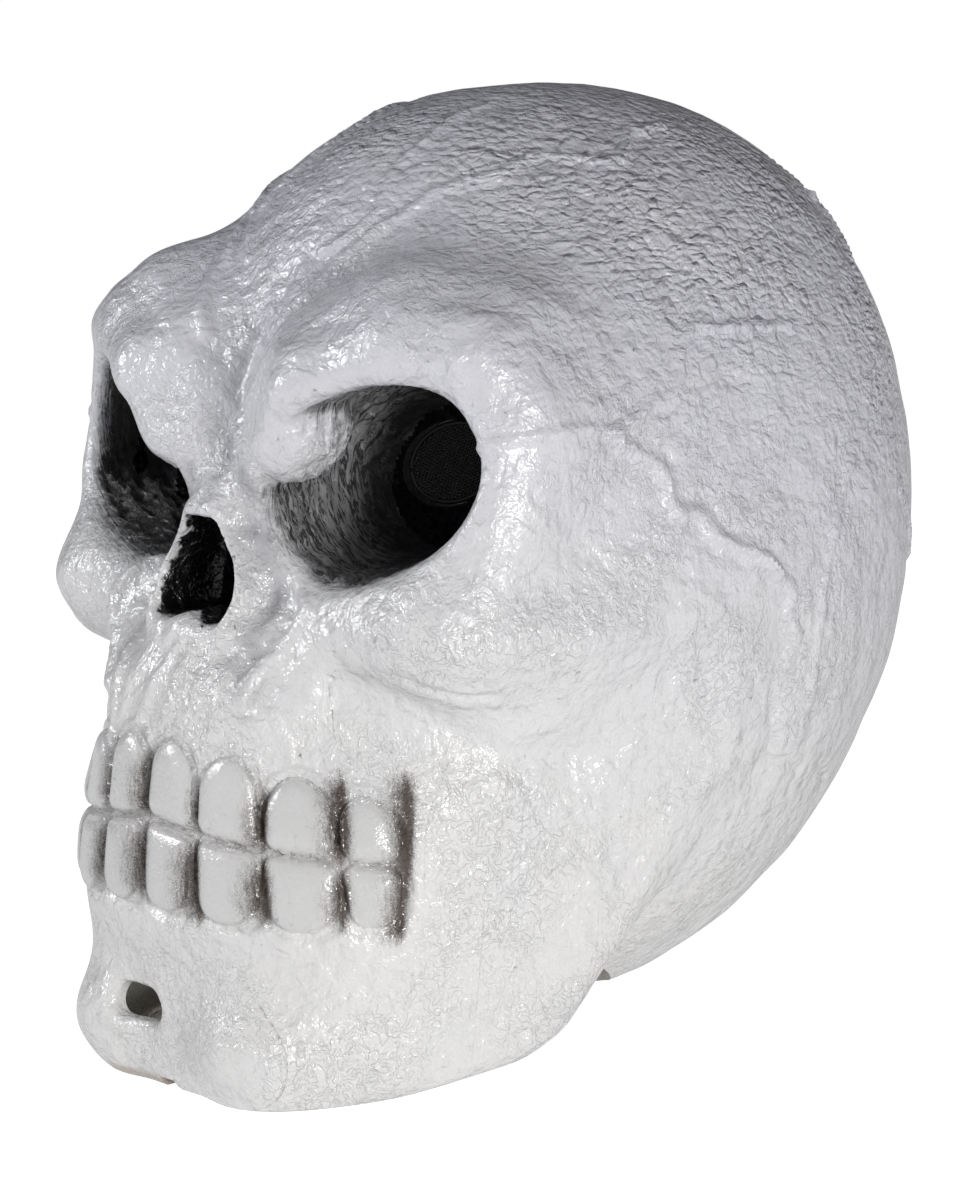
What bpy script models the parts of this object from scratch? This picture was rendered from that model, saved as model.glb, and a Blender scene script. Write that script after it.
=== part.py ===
"""Full-head latex skull mask, built as its separate pieces.

Metres in Blender, +Z up, the face towards -Y, the wearer's left towards +X.
The shape functions below work in millimetres, with z = 0 at the hem and x = 0 at the midline.
"""
import math

import bpy
import numpy as np

# ------------------------------------------------------------------ driving dimensions, in mm
MM = 0.001
WALL = 5.0                      # moulded foam-latex wall
CENTRE_Y = 7.0                  # middle of the mask, front to back, in shape coordinates
SKULL_HALF_WIDTH = 114.0
SKULL_CENTRE = (0.0, 28.0, 147.0)
SKULL_RADII = (SKULL_HALF_WIDTH, 124.0, 152.5)
SKULL_TILT = -25.0              # degrees, crown leaning forward
FOREHEAD_CENTRE = (0.0, 0.0, 210.0)
FOREHEAD_RADII = (86.0, 80.0, 82.0)
SOCKET_X = 58.0                 # eye socket centre from the midline
SOCKET_Y = -84.0
SOCKET_Z = 190.0
SOCKET_TURN = 12.7              # degrees, sockets face slightly outwards
SOCKET_ROLL = 20.0              # degrees, outer end of each socket is raised
SOCKET_HALF_LENGTH = 41.0
SOCKET_HALF_HEIGHT = 28.5
SOCKET_DEPTH = 34.0
WINDOW_HALF_LENGTH = 19.0       # see-through window in the socket floor
WINDOW_HALF_HEIGHT = 13.0
NOSE_TOP = 178.0
NOSE_BOTTOM = 147.0
NOSE_HALF_WIDTH = 16.5
NOSE_FLOOR_Y = -92.0
CHIN_FRONT = 141.0              # chin in front of x = 0, y = 0
JAW_REAR_RISE = 14.0            # jaw underside rises by this much towards its angle
HOLE_HALF_WIDTH = 68.0          # neck opening behind the jaw
HOLE_CENTRE_Y = -58.0
HOLE_HALF_LENGTH = 80.0
HEM_LIP = 16.0                  # neck opening is this far inside the jaw's outer face
SLOT_X = -12.0                  # chin slot
SLOT_Z = 26.0
SLOT_LENGTH = 24.0
SLOT_HEIGHT = 12.0
SCREEN_THICK = 2.0
FIT = 0.4                       # gap between separate pieces
PAD_GAP = 3.6                   # pads stand this far off the faceted wall
PAD_THICK = 11.0
STRAP_Y = 80.0
STRAP_Z = 102.0
STRAP_HEIGHT = 25.0
STRAP_THICK = 1.6
SLIDER_WIDTH = 24.0
SLIDER_HEIGHT = 33.0
SLIDER_THICK = 6.0


# ------------------------------------------------------------------ small shape tools, in mm
def smooth_min(a, b, k):
    h = np.clip(0.5 + 0.5 * (b - a) / k, 0.0, 1.0)
    return b + (a - b) * h - k * h * (1.0 - h)


def smooth_max(a, b, k):
    return -smooth_min(-a, -b, k)


def round_max(u, v, radius):
    """Meeting of two faces with a rounded edge."""
    pu = np.maximum(u + radius, 0.0)
    pv = np.maximum(v + radius, 0.0)
    return np.minimum(np.maximum(u, v) + radius, 0.0) + np.sqrt(pu * pu + pv * pv) - radius


def ramp(start, end, v):
    t = np.clip((v - start) / (end - start), 0.0, 1.0)
    return t * t * (3.0 - 2.0 * t)


def ellipsoid(x, y, z, centre, radii, tilt=0.0):
    a = math.radians(tilt)
    dx = x - centre[0]
    dy = y - centre[1]
    dz = z - centre[2]
    dy, dz = dy * math.cos(a) + dz * math.sin(a), dz * math.cos(a) - dy * math.sin(a)
    k = np.sqrt((dx / radii[0]) ** 2 + (dy / radii[1]) ** 2 + (dz / radii[2]) ** 2) + 1e-6
    g = np.sqrt((dx / radii[0] ** 2) ** 2 + (dy / radii[1] ** 2) ** 2 + (dz / radii[2] ** 2) ** 2) + 1e-9
    return k * (k - 1.0) / g


def rod(x, y, z, start, end):
    """Round bar between two (x, y, z, radius) stations."""
    d = [end[i] - start[i] for i in range(3)]
    length2 = sum(c * c for c in d)
    dx = x - start[0]
    dy = y - start[1]
    dz = z - start[2]
    t = np.clip((dx * d[0] + dy * d[1] + dz * d[2]) / length2, 0.0, 1.0)
    gap = np.sqrt((dx - t * d[0]) ** 2 + (dy - t * d[1]) ** 2 + (dz - t * d[2]) ** 2)
    return gap - (start[3] + (end[3] - start[3]) * t)


def rods(x, y, z, stations, k):
    parts = [rod(x, y, z, a, b) for a, b in zip(stations[:-1], stations[1:])]
    total = parts[0]
    for part in parts[1:]:
        total = smooth_min(total, part, k)
    return total


# ------------------------------------------------------------------ the skull, in mm
def braincase(x, y, z):
    ax = np.sqrt(x * x + 1.0)
    d = ellipsoid(x, y, z, SKULL_CENTRE, SKULL_RADII, SKULL_TILT)
    d = smooth_min(d, ellipsoid(x, y, z, FOREHEAD_CENTRE, FOREHEAD_RADII), 36)
    d = smooth_min(d, ellipsoid(ax, y, z, (54, -28, 188), (53, 56, 66)), 20)
    return smooth_min(d, ellipsoid(x, y, z, (0, -34, 165), (88, 64, 62)), 14)


def jaw(x, y, z):
    """Flat chin with two bumps, flaring sides and a leaning rear edge."""
    ax = np.sqrt(x * x + 1.0)
    side = 0.955 * (ax - (68 + 0.15 * z)) - 0.297 * (y + 101) + 0.0016 * (y + 75) ** 2
    above = z - 74
    front = 0.45 * (above + np.sqrt(above * above + 400)) + 0.0022 * ax * ax - (y + CHIN_FRONT)
    d = round_max(front, side, 26)
    d = round_max(d, JAW_REAR_RISE * ramp(-110, 0, y) - 1.5 - z, 9)
    d = round_max(d, (y + 44) * 0.777 - (z - 9) * 0.63, 12)
    d = round_max(d, y - 14, 12)
    d = round_max(d, ax - 104, 14)
    d = smooth_max(d, z - 138, 26)
    return smooth_min(d, ellipsoid(ax, y, z, (33, -117, 17), (24, 27, 21)), 10)


def muzzle(x, y, z):
    """Rounded arch that carries the moulded teeth."""
    half_length = 104 - 8 * ramp(70, 140, z)
    r = ((np.abs(x) / 67) ** 2.7 + (np.abs(y + 35) / half_length) ** 2.7 + 1e-9) ** (1 / 2.7)
    d = (r - 1) * np.sqrt(x * x + (y + 35) ** 2 + 1e-6) / r * 0.9
    d = smooth_max(d, z - 146, 30)
    d = smooth_max(d, 50 - z, 20)
    return smooth_max(d, y + 50, 20)


def brow(ax, y, z):
    inner = [(25, -89, 202, 15), (38, -85, 219, 17), (61, -74, 231, 18)]
    outer = [(82, -62, 225, 17), (93, -59, 206, 13)]
    stations = inner + outer
    return rods(ax, y, z, stations, 12)


def cheekbone(ax, y, z):
    d = ellipsoid(ax, y, z, (72, -62, 142), (34, 44, 26))
    d = smooth_min(d, rod(ax, y, z, (88, -46, 148, 19), (94, 16, 156, 13)), 20)
    stations = [(92, -62, 200, 12), (93, -70, 176, 13), (85, -80, 154, 16), (50, -88, 147, 14)]
    return smooth_min(d, rods(ax, y, z, stations, 12), 16)


def nose(x, ax, y, z):
    rim = [(2, -88, 190, 9), (3, -105, 177, 7), (17, -107, 158, 6), (17, -113, 146, 6)]
    d = rods(ax, y, z, rim, 5)
    d = smooth_min(d, rod(ax, y, z, (16, -113, 146, 6), (2, -116, 143, 6)), 6)
    side = [(21, -88, 189, 4), (27, -89, 168, 5), (30, -90, 150, 7), (22, -108, 130, 8)]
    d = smooth_min(d, rods(ax, y, z, side, 5), 9)
    return smooth_min(d, ellipsoid(x, y, z, (0, -92, 148), (26, 24, 34)), 8)


def socket_frame(ax, y, z):
    """Coordinates in a socket: along its length, up, and out of its mouth."""
    a = math.radians(SOCKET_TURN)
    dx = ax - SOCKET_X
    dy = y - SOCKET_Y
    dz = z - SOCKET_Z
    out = dx * math.sin(a) - dy * math.cos(a)
    along = dx * math.cos(a) + dy * math.sin(a)
    t = math.radians(SOCKET_ROLL)
    return along * math.cos(t) + dz * math.sin(t), dz * math.cos(t) - along * math.sin(t), out


def socket(ax, y, z):
    along, up, out = socket_frame(ax, y, z)
    n = 2.3
    spread = (np.abs(along) / SOCKET_HALF_LENGTH) ** n + (np.abs(up) / SOCKET_HALF_HEIGHT) ** n
    r = (spread + 1e-9) ** (1 / n)
    return smooth_max((r - 1) * SOCKET_HALF_HEIGHT, -out - SOCKET_DEPTH, 22)


def nose_hole(ax, y, z):
    half_width = 2 + (NOSE_HALF_WIDTH - 2) * ramp(NOSE_TOP + 2, NOSE_BOTTOM + 5, z)
    spine = NOSE_BOTTOM + 0.3 * np.maximum(8 - ax, 0)
    d = smooth_max(ax - half_width, spine - z, 5)
    d = smooth_max(d, z - NOSE_TOP, 3)
    return smooth_max(d, y - NOSE_FLOOR_Y, 6)


def bare_head(x, y, z):
    """Outer face before the sockets and the nose are sunk into it."""
    ax = np.sqrt(x * x + 1.0)
    d = braincase(x, y, z)
    d = smooth_min(d, smooth_min(jaw(x, y, z), muzzle(x, y, z), 18), 9)
    d = smooth_min(d, brow(ax, y, z), 28)
    d = smooth_min(d, cheekbone(ax, y, z), 22)
    return smooth_min(d, nose(x, ax, y, z), 8)


def head(x, y, z):
    """Outer face of the mask: negative inside."""
    ax = np.sqrt(x * x + 1.0)
    d = smooth_max(bare_head(x, y, z), -socket(ax, y, z), 5)
    return smooth_max(d, -nose_hole(ax, y, z), 3)


def neck_outline(x, y):
    """Plan of the neck opening: negative inside."""
    spread = (np.abs(x) / HOLE_HALF_WIDTH) ** 2.4 + (np.abs(y - HOLE_CENTRE_Y) / HOLE_HALF_LENGTH) ** 2.4
    r = (spread + 1e-9) ** (1 / 2.4)
    oval = (r - 1) * HOLE_HALF_WIDTH
    inside_jaw = head(x, y, np.full_like(x, 26.0)) + HEM_LIP
    behind = ramp(-75, -45, y)
    return np.maximum(oval, inside_jaw - 40 * behind)


def cavity(x, y, z):
    """Space inside the mask: negative inside. The nose and the socket rims are left thick."""
    ax = np.sqrt(x * x + 1.0)
    d = smooth_max(bare_head(x, y, z) + WALL, WALL - socket(ax, y, z), 16)
    solid_nose = ellipsoid(x, y, z, (0, -98, 160), (34, 19, 40))
    return smooth_max(d, -solid_nose, 10)


# ------------------------------------------------------------------ meshes
def material(name, colour, roughness, metallic=0.0):
    mat = bpy.data.materials.new(name)
    mat.use_nodes = True
    shader = mat.node_tree.nodes["Principled BSDF"]
    shader.inputs["Base Color"].default_value = (*colour, 1.0)
    shader.inputs["Roughness"].default_value = roughness
    shader.inputs["Metallic"].default_value = metallic
    mat.diffuse_color = (*colour, 1.0)
    return mat


def facing_out(points, faces):
    """The same faces, turned round if they enclose a negative volume."""
    volume = 0.0
    for face in faces:
        a = points[face[0]]
        for i in range(1, len(face) - 1):
            volume += float(np.dot(a, np.cross(points[face[i]], points[face[i + 1]])))
    return faces if volume > 0 else [tuple(face)[::-1] for face in faces]


def add_object(name, points, faces, mat):
    """Make one closed object from points in shape millimetres."""
    mesh = bpy.data.meshes.new(name)
    placed = [((p[0]) * MM, (p[1] - CENTRE_Y) * MM, p[2] * MM) for p in points]
    mesh.from_pydata(placed, [], [tuple(int(i) for i in f) for f in faces])
    mesh.validate()
    mesh.update()
    mesh.materials.append(mat)
    obj = bpy.data.objects.new(name, mesh)
    bpy.context.scene.collection.objects.link(obj)
    return obj


def surface_points(field, low, high, cell):
    """Closed quad surface of the field's zero level, one vertex per crossed cell."""
    axes = [np.arange(low[i], high[i] + cell, cell) for i in range(3)]
    value = field(*np.meshgrid(*axes, indexing="ij"))
    inside = value < 0
    corners = [(a, b, c) for a in (0, 1) for b in (0, 1) for c in (0, 1)]
    shape = tuple(n - 1 for n in value.shape)

    def corner(grid, k):
        return grid[k[0]:k[0] + shape[0], k[1]:k[1] + shape[1], k[2]:k[2] + shape[2]]

    total = np.zeros(shape + (3,))
    count = np.zeros(shape)
    for a in corners:
        for axis in range(3):
            if a[axis]:
                continue
            b = tuple(1 if i == axis else a[i] for i in range(3))
            va = corner(value, a)
            vb = corner(value, b)
            cross = (va < 0) != (vb < 0)
            t = np.where(cross, va / np.where(cross, va - vb, 1.0), 0.0)
            for i in range(3):
                at = a[i] + (t if i == axis else 0.0)
                total[..., i] += np.where(cross, at, 0.0)
            count += cross
    used = count > 0
    number = np.full(shape, -1)
    number[used] = np.arange(used.sum())
    cells = np.argwhere(used)
    points = total[used] / count[used][:, None] + cells
    points = points * cell + np.array(low)
    faces = []
    for axis in range(3):
        u = (axis + 1) % 3
        v = (axis + 2) % 3
        first = np.take(inside, range(value.shape[axis] - 1), axis)
        second = np.take(inside, range(1, value.shape[axis]), axis)
        for where in np.argwhere(first != second):
            if where[u] == 0 or where[v] == 0 or where[u] >= shape[u] or where[v] >= shape[v]:
                continue
            ring = []
            for du, dv in ((-1, -1), (0, -1), (0, 0), (-1, 0)):
                at = list(where)
                at[u] += du
                at[v] += dv
                ring.append(number[tuple(at)])
            outward = inside[tuple(where)]
            faces.append(ring if outward else ring[::-1])
    return settle(field, points), faces


def settle(field, points):
    """Move points onto the field's zero level."""
    e = 0.5
    for _ in range(3):
        x, y, z = points.T
        value = field(x, y, z)
        slope = np.stack([
            field(x + e, y, z) - field(x - e, y, z),
            field(x, y + e, z) - field(x, y - e, z),
            field(x, y, z + e) - field(x, y, z - e)], 1) / (2 * e)
        length2 = np.maximum((slope ** 2).sum(1), 0.3)
        move = -(value / length2)[:, None] * slope
        size = np.maximum(np.abs(move).max(1), 1e-9)
        points = points + move * np.minimum(1.0, 1.5 / size)[:, None]
    return points


def baked(obj):
    """Replace the object's mesh with the result of its modifiers."""
    bpy.context.view_layer.update()
    graph = bpy.context.evaluated_depsgraph_get()
    mesh = bpy.data.meshes.new_from_object(obj.evaluated_get(graph))
    old = obj.data
    obj.modifiers.clear()
    obj.data = mesh
    mesh.name = obj.name
    bpy.data.meshes.remove(old)
    return obj


def thinned(obj, triangles):
    """Collapse the mesh to about this many triangles, the same on both sides of the midline."""
    modifier = obj.modifiers.new("thin", "DECIMATE")
    have = sum(len(p.vertices) - 2 for p in obj.data.polygons)
    modifier.ratio = triangles / have
    modifier.use_symmetry = True
    modifier.symmetry_axis = "X"
    return baked(obj)


def cut(obj, cutters):
    for cutter in cutters:
        modifier = obj.modifiers.new("cut", "BOOLEAN")
        modifier.operation = "DIFFERENCE"
        modifier.solver = "EXACT"
        modifier.object = cutter
        baked(obj)
        bpy.data.objects.remove(cutter)
    return obj


def box_points(low, high):
    points = [(x, y, z) for z in (low[2], high[2]) for y in (low[1], high[1]) for x in (low[0], high[0])]
    faces = [(0, 2, 3, 1), (4, 5, 7, 6), (0, 1, 5, 4), (2, 6, 7, 3), (0, 4, 6, 2), (1, 3, 7, 5)]
    return points, faces


def prism_points(bottom, top):
    """Closed solid between two loops with the same number of points."""
    n = len(bottom)
    faces = [tuple(range(n))[::-1], tuple(range(n, 2 * n))]
    faces += [(i, (i + 1) % n, n + (i + 1) % n, n + i) for i in range(n)]
    points = list(bottom) + list(top)
    return points, facing_out(points, faces)


def ring_points(loops):
    """Closed ring: loops are its rows of points in order round the section."""
    rows = len(loops)
    n = len(loops[0])
    points = [p for loop in loops for p in loop]
    faces = []
    for r in range(rows):
        s = (r + 1) % rows
        for i in range(n):
            j = (i + 1) % n
            faces.append((r * n + i, r * n + j, s * n + j, s * n + i))
    return points, facing_out(points, faces)


# ------------------------------------------------------------------ pieces
def socket_loop(side, half_length, half_height, out, count=28):
    """Oval across a socket, at a distance out of its reference plane."""
    a = math.radians(SOCKET_TURN)
    t = math.radians(SOCKET_ROLL)
    loop = []
    for i in range(count):
        angle = 2 * math.pi * i / count
        along = half_length * math.cos(angle)
        up = half_height * math.sin(angle)
        flat = along * math.cos(t) - up * math.sin(t)
        x = SOCKET_X + flat * math.cos(a) + out * math.sin(a)
        y = SOCKET_Y + flat * math.sin(a) - out * math.cos(a)
        z = SOCKET_Z + along * math.sin(t) + up * math.cos(t)
        loop.append((side * x, y, z))
    return loop if side > 0 else loop[::-1]


def socket_disc(name, side, half_length, half_height, back, front, mat):
    """Oval solid across a socket between two distances out of it."""
    bottom = socket_loop(side, half_length, half_height, back)
    top = socket_loop(side, half_length, half_height, front)
    return add_object(name, *prism_points(bottom, top), mat)


def upright_loop(centre_x, centre_z, half_length, half_height, y, count=24):
    """Rounded slot outline in a plane across the front-back direction."""
    loop = []
    straight = max(half_length - half_height, 0.0)
    for i in range(count):
        angle = 2 * math.pi * (i + 0.5) / count
        x = centre_x + half_height * math.cos(angle) + math.copysign(straight, math.cos(angle))
        loop.append((x, y, centre_z + half_height * math.sin(angle)))
    return loop


def farthest_inside(field, origin, directions, reach):
    """Points along rays from an origin, as far as the field stays negative."""
    near = np.zeros(len(directions))
    far = np.full(len(directions), float(reach))
    for _ in range(28):
        mid = 0.5 * (near + far)
        points = np.array(origin) + mid[:, None] * directions
        inside = field(*points.T) < 0
        near = np.where(inside, mid, near)
        far = np.where(inside, far, mid)
    return np.array(origin) + near[:, None] * directions


def outline_loop(offset, count=72):
    """Plan of the neck opening, moved inwards by an offset."""
    angle = np.arange(count) * 2 * math.pi / count
    directions = np.stack([np.cos(angle), np.sin(angle)], 1)
    found = farthest_inside(lambda x, y: neck_outline(x, y) + offset, (0.0, HOLE_CENTRE_Y), directions, 140)
    return [tuple(p) for p in found]


def underside(x, y):
    """Height of the outer face under a point of the neck opening's edge."""
    heights = np.arange(-6.0, 75.0, 0.5)
    value = head(np.full_like(heights, x), np.full_like(heights, y), heights)
    inside = np.nonzero(value < 0)[0]
    return max(heights[inside[0]] if len(inside) else 0.0, 0.0)


def smooth_round(values, passes=6):
    """Even out a closed row of values."""
    values = np.array(values)
    for _ in range(passes):
        values = 0.25 * np.roll(values, 1) + 0.5 * values + 0.25 * np.roll(values, -1)
    return values


def make_shell(mat, spare):
    """Moulded skin: outer face less the cavity, the neck opening, windows and slots."""
    low = (-126, -156, -12)
    high = (126, 176, 316)
    shell = thinned(add_object("skull_shell", *surface_points(head, low, high, 5.1), mat), 4600)
    void = thinned(add_object("void", *surface_points(cavity, low, high, 6.2), spare), 2700)
    edge = outline_loop(0.0)
    neck = prism_points([(x, y, -30.0) for x, y in edge], [(x, y, 58.0) for x, y in edge])
    floor = box_points((-200, -250, -60), (200, 250, 0.0))
    notch = box_points((-4.2, -150, -5), (4.2, edge_front(edge) + 3, 3.9))
    cutters = [void, add_object("neck", *neck, spare), add_object("floor", *floor, spare),
               add_object("notch", *notch, spare)]
    for side in (-1, 1):
        cutters.append(socket_disc("window", side, WINDOW_HALF_LENGTH, WINDOW_HALF_HEIGHT,
                                   -SOCKET_DEPTH - 16, -SOCKET_DEPTH + 14, spare))
    for x, z, half_length, half_height, front, back in (
            (SLOT_X, SLOT_Z, SLOT_LENGTH / 2, SLOT_HEIGHT / 2, -155, -118),
            (0.0, 160.0, 6.5, 6.5, NOSE_FLOOR_Y - 12, NOSE_FLOOR_Y + 16)):
        slot = prism_points(upright_loop(x, z, half_length, half_height, back),
                            upright_loop(x, z, half_length, half_height, front))
        cutters.append(add_object("slot", *slot, spare))
    return cut(shell, cutters)


def edge_front(edge):
    return min(y for x, y in edge)


def make_screen(name, side, mat):
    """See-through screen held in a socket's window."""
    middle = -SOCKET_DEPTH - WALL / 2
    return socket_disc(name, side, WINDOW_HALF_LENGTH - FIT, WINDOW_HALF_HEIGHT - FIT,
                       middle - SCREEN_THICK / 2, middle + SCREEN_THICK / 2, mat)


def make_nose_screen(mat):
    middle = NOSE_FLOOR_Y + WALL / 2
    bottom = upright_loop(0.0, 160.0, 6.5 - FIT, 6.5 - FIT, middle + SCREEN_THICK / 2)
    top = upright_loop(0.0, 160.0, 6.5 - FIT, 6.5 - FIT, middle - SCREEN_THICK / 2)
    return add_object("nose_screen", *prism_points(bottom, top), mat)


def make_hem(mat):
    """Binding tape round the inside of the neck opening's cut edge."""
    outer = outline_loop(FIT)
    inner = outline_loop(FIT + 2.2)
    base = smooth_round([underside(x, y) for x, y in outline_loop(-1.0)])
    base = np.maximum(base, 0.2)
    loops = [[(x, y, b) for (x, y), b in zip(outer, base)],
             [(x, y, b) for (x, y), b in zip(inner, base)],
             [(x, y, b + 10.0) for (x, y), b in zip(inner, base)],
             [(x, y, b + 10.0) for (x, y), b in zip(outer, base)]]
    return add_object("neck_hem", *ring_points(loops), mat)


def make_tab(mat):
    """Folded end of the hem tape, showing in a notch under the chin."""
    back = edge_front(outline_loop(0.0)) - FIT
    return add_object("hem_tab", *box_points((-3.6, back - 11.0, 0.3), (3.6, back, 3.4)), mat)


def make_pad(name, normal, across, half_across, half_up, mat, nu=8, nv=6):
    """Soft foam pad that follows the inside of the shell."""
    origin = (0.0, 8.0, 160.0)
    n = np.array(normal) / np.linalg.norm(normal)
    e1 = np.array(across) / np.linalg.norm(across)
    e2 = np.cross(n, e1)
    grid = np.meshgrid(np.linspace(-1, 1, nv + 1), np.linspace(-1, 1, nu + 1), indexing="ij")
    v, u = [g.ravel() for g in grid]
    across_step = math.tan(math.radians(half_across)) * u * np.sqrt(1 - 0.22 * v * v)
    up_step = math.tan(math.radians(half_up)) * v * np.sqrt(1 - 0.22 * u * u)
    rays = n + across_step[:, None] * e1 + up_step[:, None] * e2
    rays = rays / np.linalg.norm(rays, axis=1)[:, None]
    thick = 3.0 + (PAD_THICK - 3.0) * (1 - u ** 6) * (1 - v ** 6)
    outer = farthest_inside(lambda x, y, z: cavity(x, y, z) + PAD_GAP, origin, rays, 200)
    inner = farthest_inside(lambda x, y, z: cavity(x, y, z) + PAD_GAP + thick, origin, rays, 200)
    points = [tuple(p) for p in outer] + [tuple(p) for p in inner]
    m = len(outer)
    w = nu + 1
    faces = []
    for j in range(nv):
        for i in range(nu):
            a, b, c, d = j * w + i, j * w + i + 1, (j + 1) * w + i + 1, (j + 1) * w + i
            faces.append((a, b, c, d))
            faces.append((m + d, m + c, m + b, m + a))
    rim = [i for i in range(nu)] + [nu + j * w for j in range(nv)]
    rim += [nv * w + nu - i for i in range(nu)] + [(nv - j) * w for j in range(nv)]
    for k, a in enumerate(rim):
        b = rim[(k + 1) % len(rim)]
        faces.append((a, m + a, m + b, b))
    return add_object(name, points, facing_out(points, faces), mat)


def half_width_inside(y, z):
    """Distance from the midline to the cavity's side wall."""
    return farthest_inside(cavity, (0.0, y, z), np.array([[1.0, 0.0, 0.0]]), 140)[0][0]


def square_tube(name, x0, x1, outer, hole, mat):
    """Block with a rectangular way through along X; outer and hole are (y, z) half sizes."""
    def loop(x, half):
        return [(x, STRAP_Y + sy * half[0], STRAP_Z + sz * half[1])
                for sy, sz in ((-1, -1), (1, -1), (1, 1), (-1, 1))]
    loops = [loop(x0, outer), loop(x0, hole), loop(x1, hole), loop(x1, outer)]
    return add_object(name, *ring_points(loops), mat)


def make_strap(web, plastic):
    """Nape strap between two wall anchors, with a buckle that slides along it."""
    reach = min(half_width_inside(STRAP_Y + dy, STRAP_Z + dz) for dy in (-8, 8) for dz in (-19, 19)) - 2.5
    half = (STRAP_THICK / 2, STRAP_HEIGHT / 2)
    slot = (half[0] + FIT, half[1] + FIT)
    end = reach - 1.0
    pieces = [add_object("head_strap", *box_points((-end, STRAP_Y - half[0], STRAP_Z - half[1]),
                                                   (end, STRAP_Y + half[0], STRAP_Z + half[1])), web)]
    for name, side in (("left_strap_anchor", 1), ("right_strap_anchor", -1)):
        x0, x1 = sorted((side * reach, side * (reach - 7.0)))
        pieces.append(square_tube(name, x0, x1, (8.0, 19.0), slot, plastic))
    slider = square_tube("strap_slider", -SLIDER_WIDTH / 2, SLIDER_WIDTH / 2,
                         (SLIDER_THICK / 2, SLIDER_HEIGHT / 2), slot, plastic)
    pieces.append(slider)
    return pieces


def main():
    for obj in list(bpy.data.objects):
        bpy.data.objects.remove(obj)
    skin = material("skin", (0.80, 0.79, 0.80), 0.35)
    spare = material("spare", (0.5, 0.5, 0.5), 0.5)
    screen = material("screen", (0.01, 0.01, 0.01), 0.6)
    binding = material("binding", (0.45, 0.41, 0.38), 0.8)
    tab = material("tab", (0.40, 0.36, 0.33), 0.8)
    foam = material("foam", (0.12, 0.12, 0.13), 0.95)
    webbing = material("webbing", (0.05, 0.05, 0.055), 0.85)
    plastic = material("plastic", (0.04, 0.04, 0.04), 0.4)
    make_shell(skin, spare)
    make_screen("left_eye_screen", 1, screen)
    make_screen("right_eye_screen", -1, screen)
    make_nose_screen(screen)
    make_hem(binding)
    make_tab(tab)
    make_pad("crown_pad", (0, 0.05, 1), (1, 0, 0), 20, 22, foam)
    make_pad("forehead_pad", (0, -0.74, 0.67), (1, 0, 0), 22, 9, foam)
    make_pad("left_side_pad", (1, 0.1, 0.12), (0, 1, 0), 16, 14, foam)
    make_pad("right_side_pad", (-1, 0.1, 0.12), (0, -1, 0), 16, 14, foam)
    make_pad("rear_pad", (0, 1, 0.1), (-1, 0, 0), 19, 14, foam)
    make_strap(webbing, plastic)


main()
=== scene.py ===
"""Looks of the full-head latex skull mask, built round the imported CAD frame.

The shape functions work in millimetres: x = 0 at the midline, z = 0 at the hem, -Y out of the face.
"""
import math

import bmesh
import bpy
import numpy as np
from mathutils import Matrix, Vector


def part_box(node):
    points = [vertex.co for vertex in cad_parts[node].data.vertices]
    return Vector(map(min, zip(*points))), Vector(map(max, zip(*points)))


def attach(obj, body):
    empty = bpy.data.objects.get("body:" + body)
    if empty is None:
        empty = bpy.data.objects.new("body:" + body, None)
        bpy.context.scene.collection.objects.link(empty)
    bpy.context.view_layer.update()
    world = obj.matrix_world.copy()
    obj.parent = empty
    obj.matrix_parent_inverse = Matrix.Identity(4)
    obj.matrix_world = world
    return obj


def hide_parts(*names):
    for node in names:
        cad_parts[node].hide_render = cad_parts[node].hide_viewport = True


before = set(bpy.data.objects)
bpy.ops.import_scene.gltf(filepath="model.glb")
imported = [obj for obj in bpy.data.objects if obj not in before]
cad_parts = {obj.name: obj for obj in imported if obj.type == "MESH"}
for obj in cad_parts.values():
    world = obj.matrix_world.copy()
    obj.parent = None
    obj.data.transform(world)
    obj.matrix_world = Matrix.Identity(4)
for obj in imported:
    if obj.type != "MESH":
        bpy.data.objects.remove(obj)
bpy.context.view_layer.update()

# ------------------------------------------------------------------ the mask's dimensions, in mm
MM = 0.001
WALL = 5.0
CENTRE_Y = 7.0
SKULL_CENTRE = (0.0, 28.0, 147.0)
SKULL_RADII = (114.0, 124.0, 152.5)
SKULL_TILT = -25.0
FOREHEAD_CENTRE = (0.0, 0.0, 210.0)
FOREHEAD_RADII = (86.0, 80.0, 82.0)
SOCKET_X = 58.0
SOCKET_Y = -84.0
SOCKET_Z = 190.0
SOCKET_TURN = 12.7
SOCKET_ROLL = 20.0
SOCKET_HALF_LENGTH = 41.0
SOCKET_HALF_HEIGHT = 28.5
SOCKET_DEPTH = 34.0
WINDOW_HALF_LENGTH = 19.0
WINDOW_HALF_HEIGHT = 13.0
NOSE_TOP = 178.0
NOSE_BOTTOM = 147.0
NOSE_HALF_WIDTH = 18.0
NOSE_FLOOR_Y = -92.0
NOSTRIL_RADIUS = 6.5             # round breathing hole in the floor of the nose opening
NOSTRIL_Z = 160.0
CHIN_FRONT = 141.0
JAW_REAR_RISE = 14.0
HOLE_HALF_WIDTH = 68.0
HOLE_CENTRE_Y = -58.0
HOLE_HALF_LENGTH = 80.0
HEM_LIP = 16.0
SLOT_X = -12.0
SLOT_Z = 26.0
SLOT_HALF_LENGTH = 12.0
SLOT_HALF_HEIGHT = 6.0

# teeth, measured along the dental arch from the midline
ARCH_MIDDLE_Y = -75.0
ARCH_TURNS = (0.0, 20.5, 40.0, 58.5, 72.0, 96.0)
TOOTH_EDGES = (0.0, 21.6, 46.1, 69.7, 86.7, 117.0)
GUM_TOPS = (113.5, 110.0, 103.5, 97.5)
GUM_BOTTOMS = (60.5, 59.0, 57.5, 58.0)
BITE_Z = 88.5
BITE_FALL = 0.14

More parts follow.
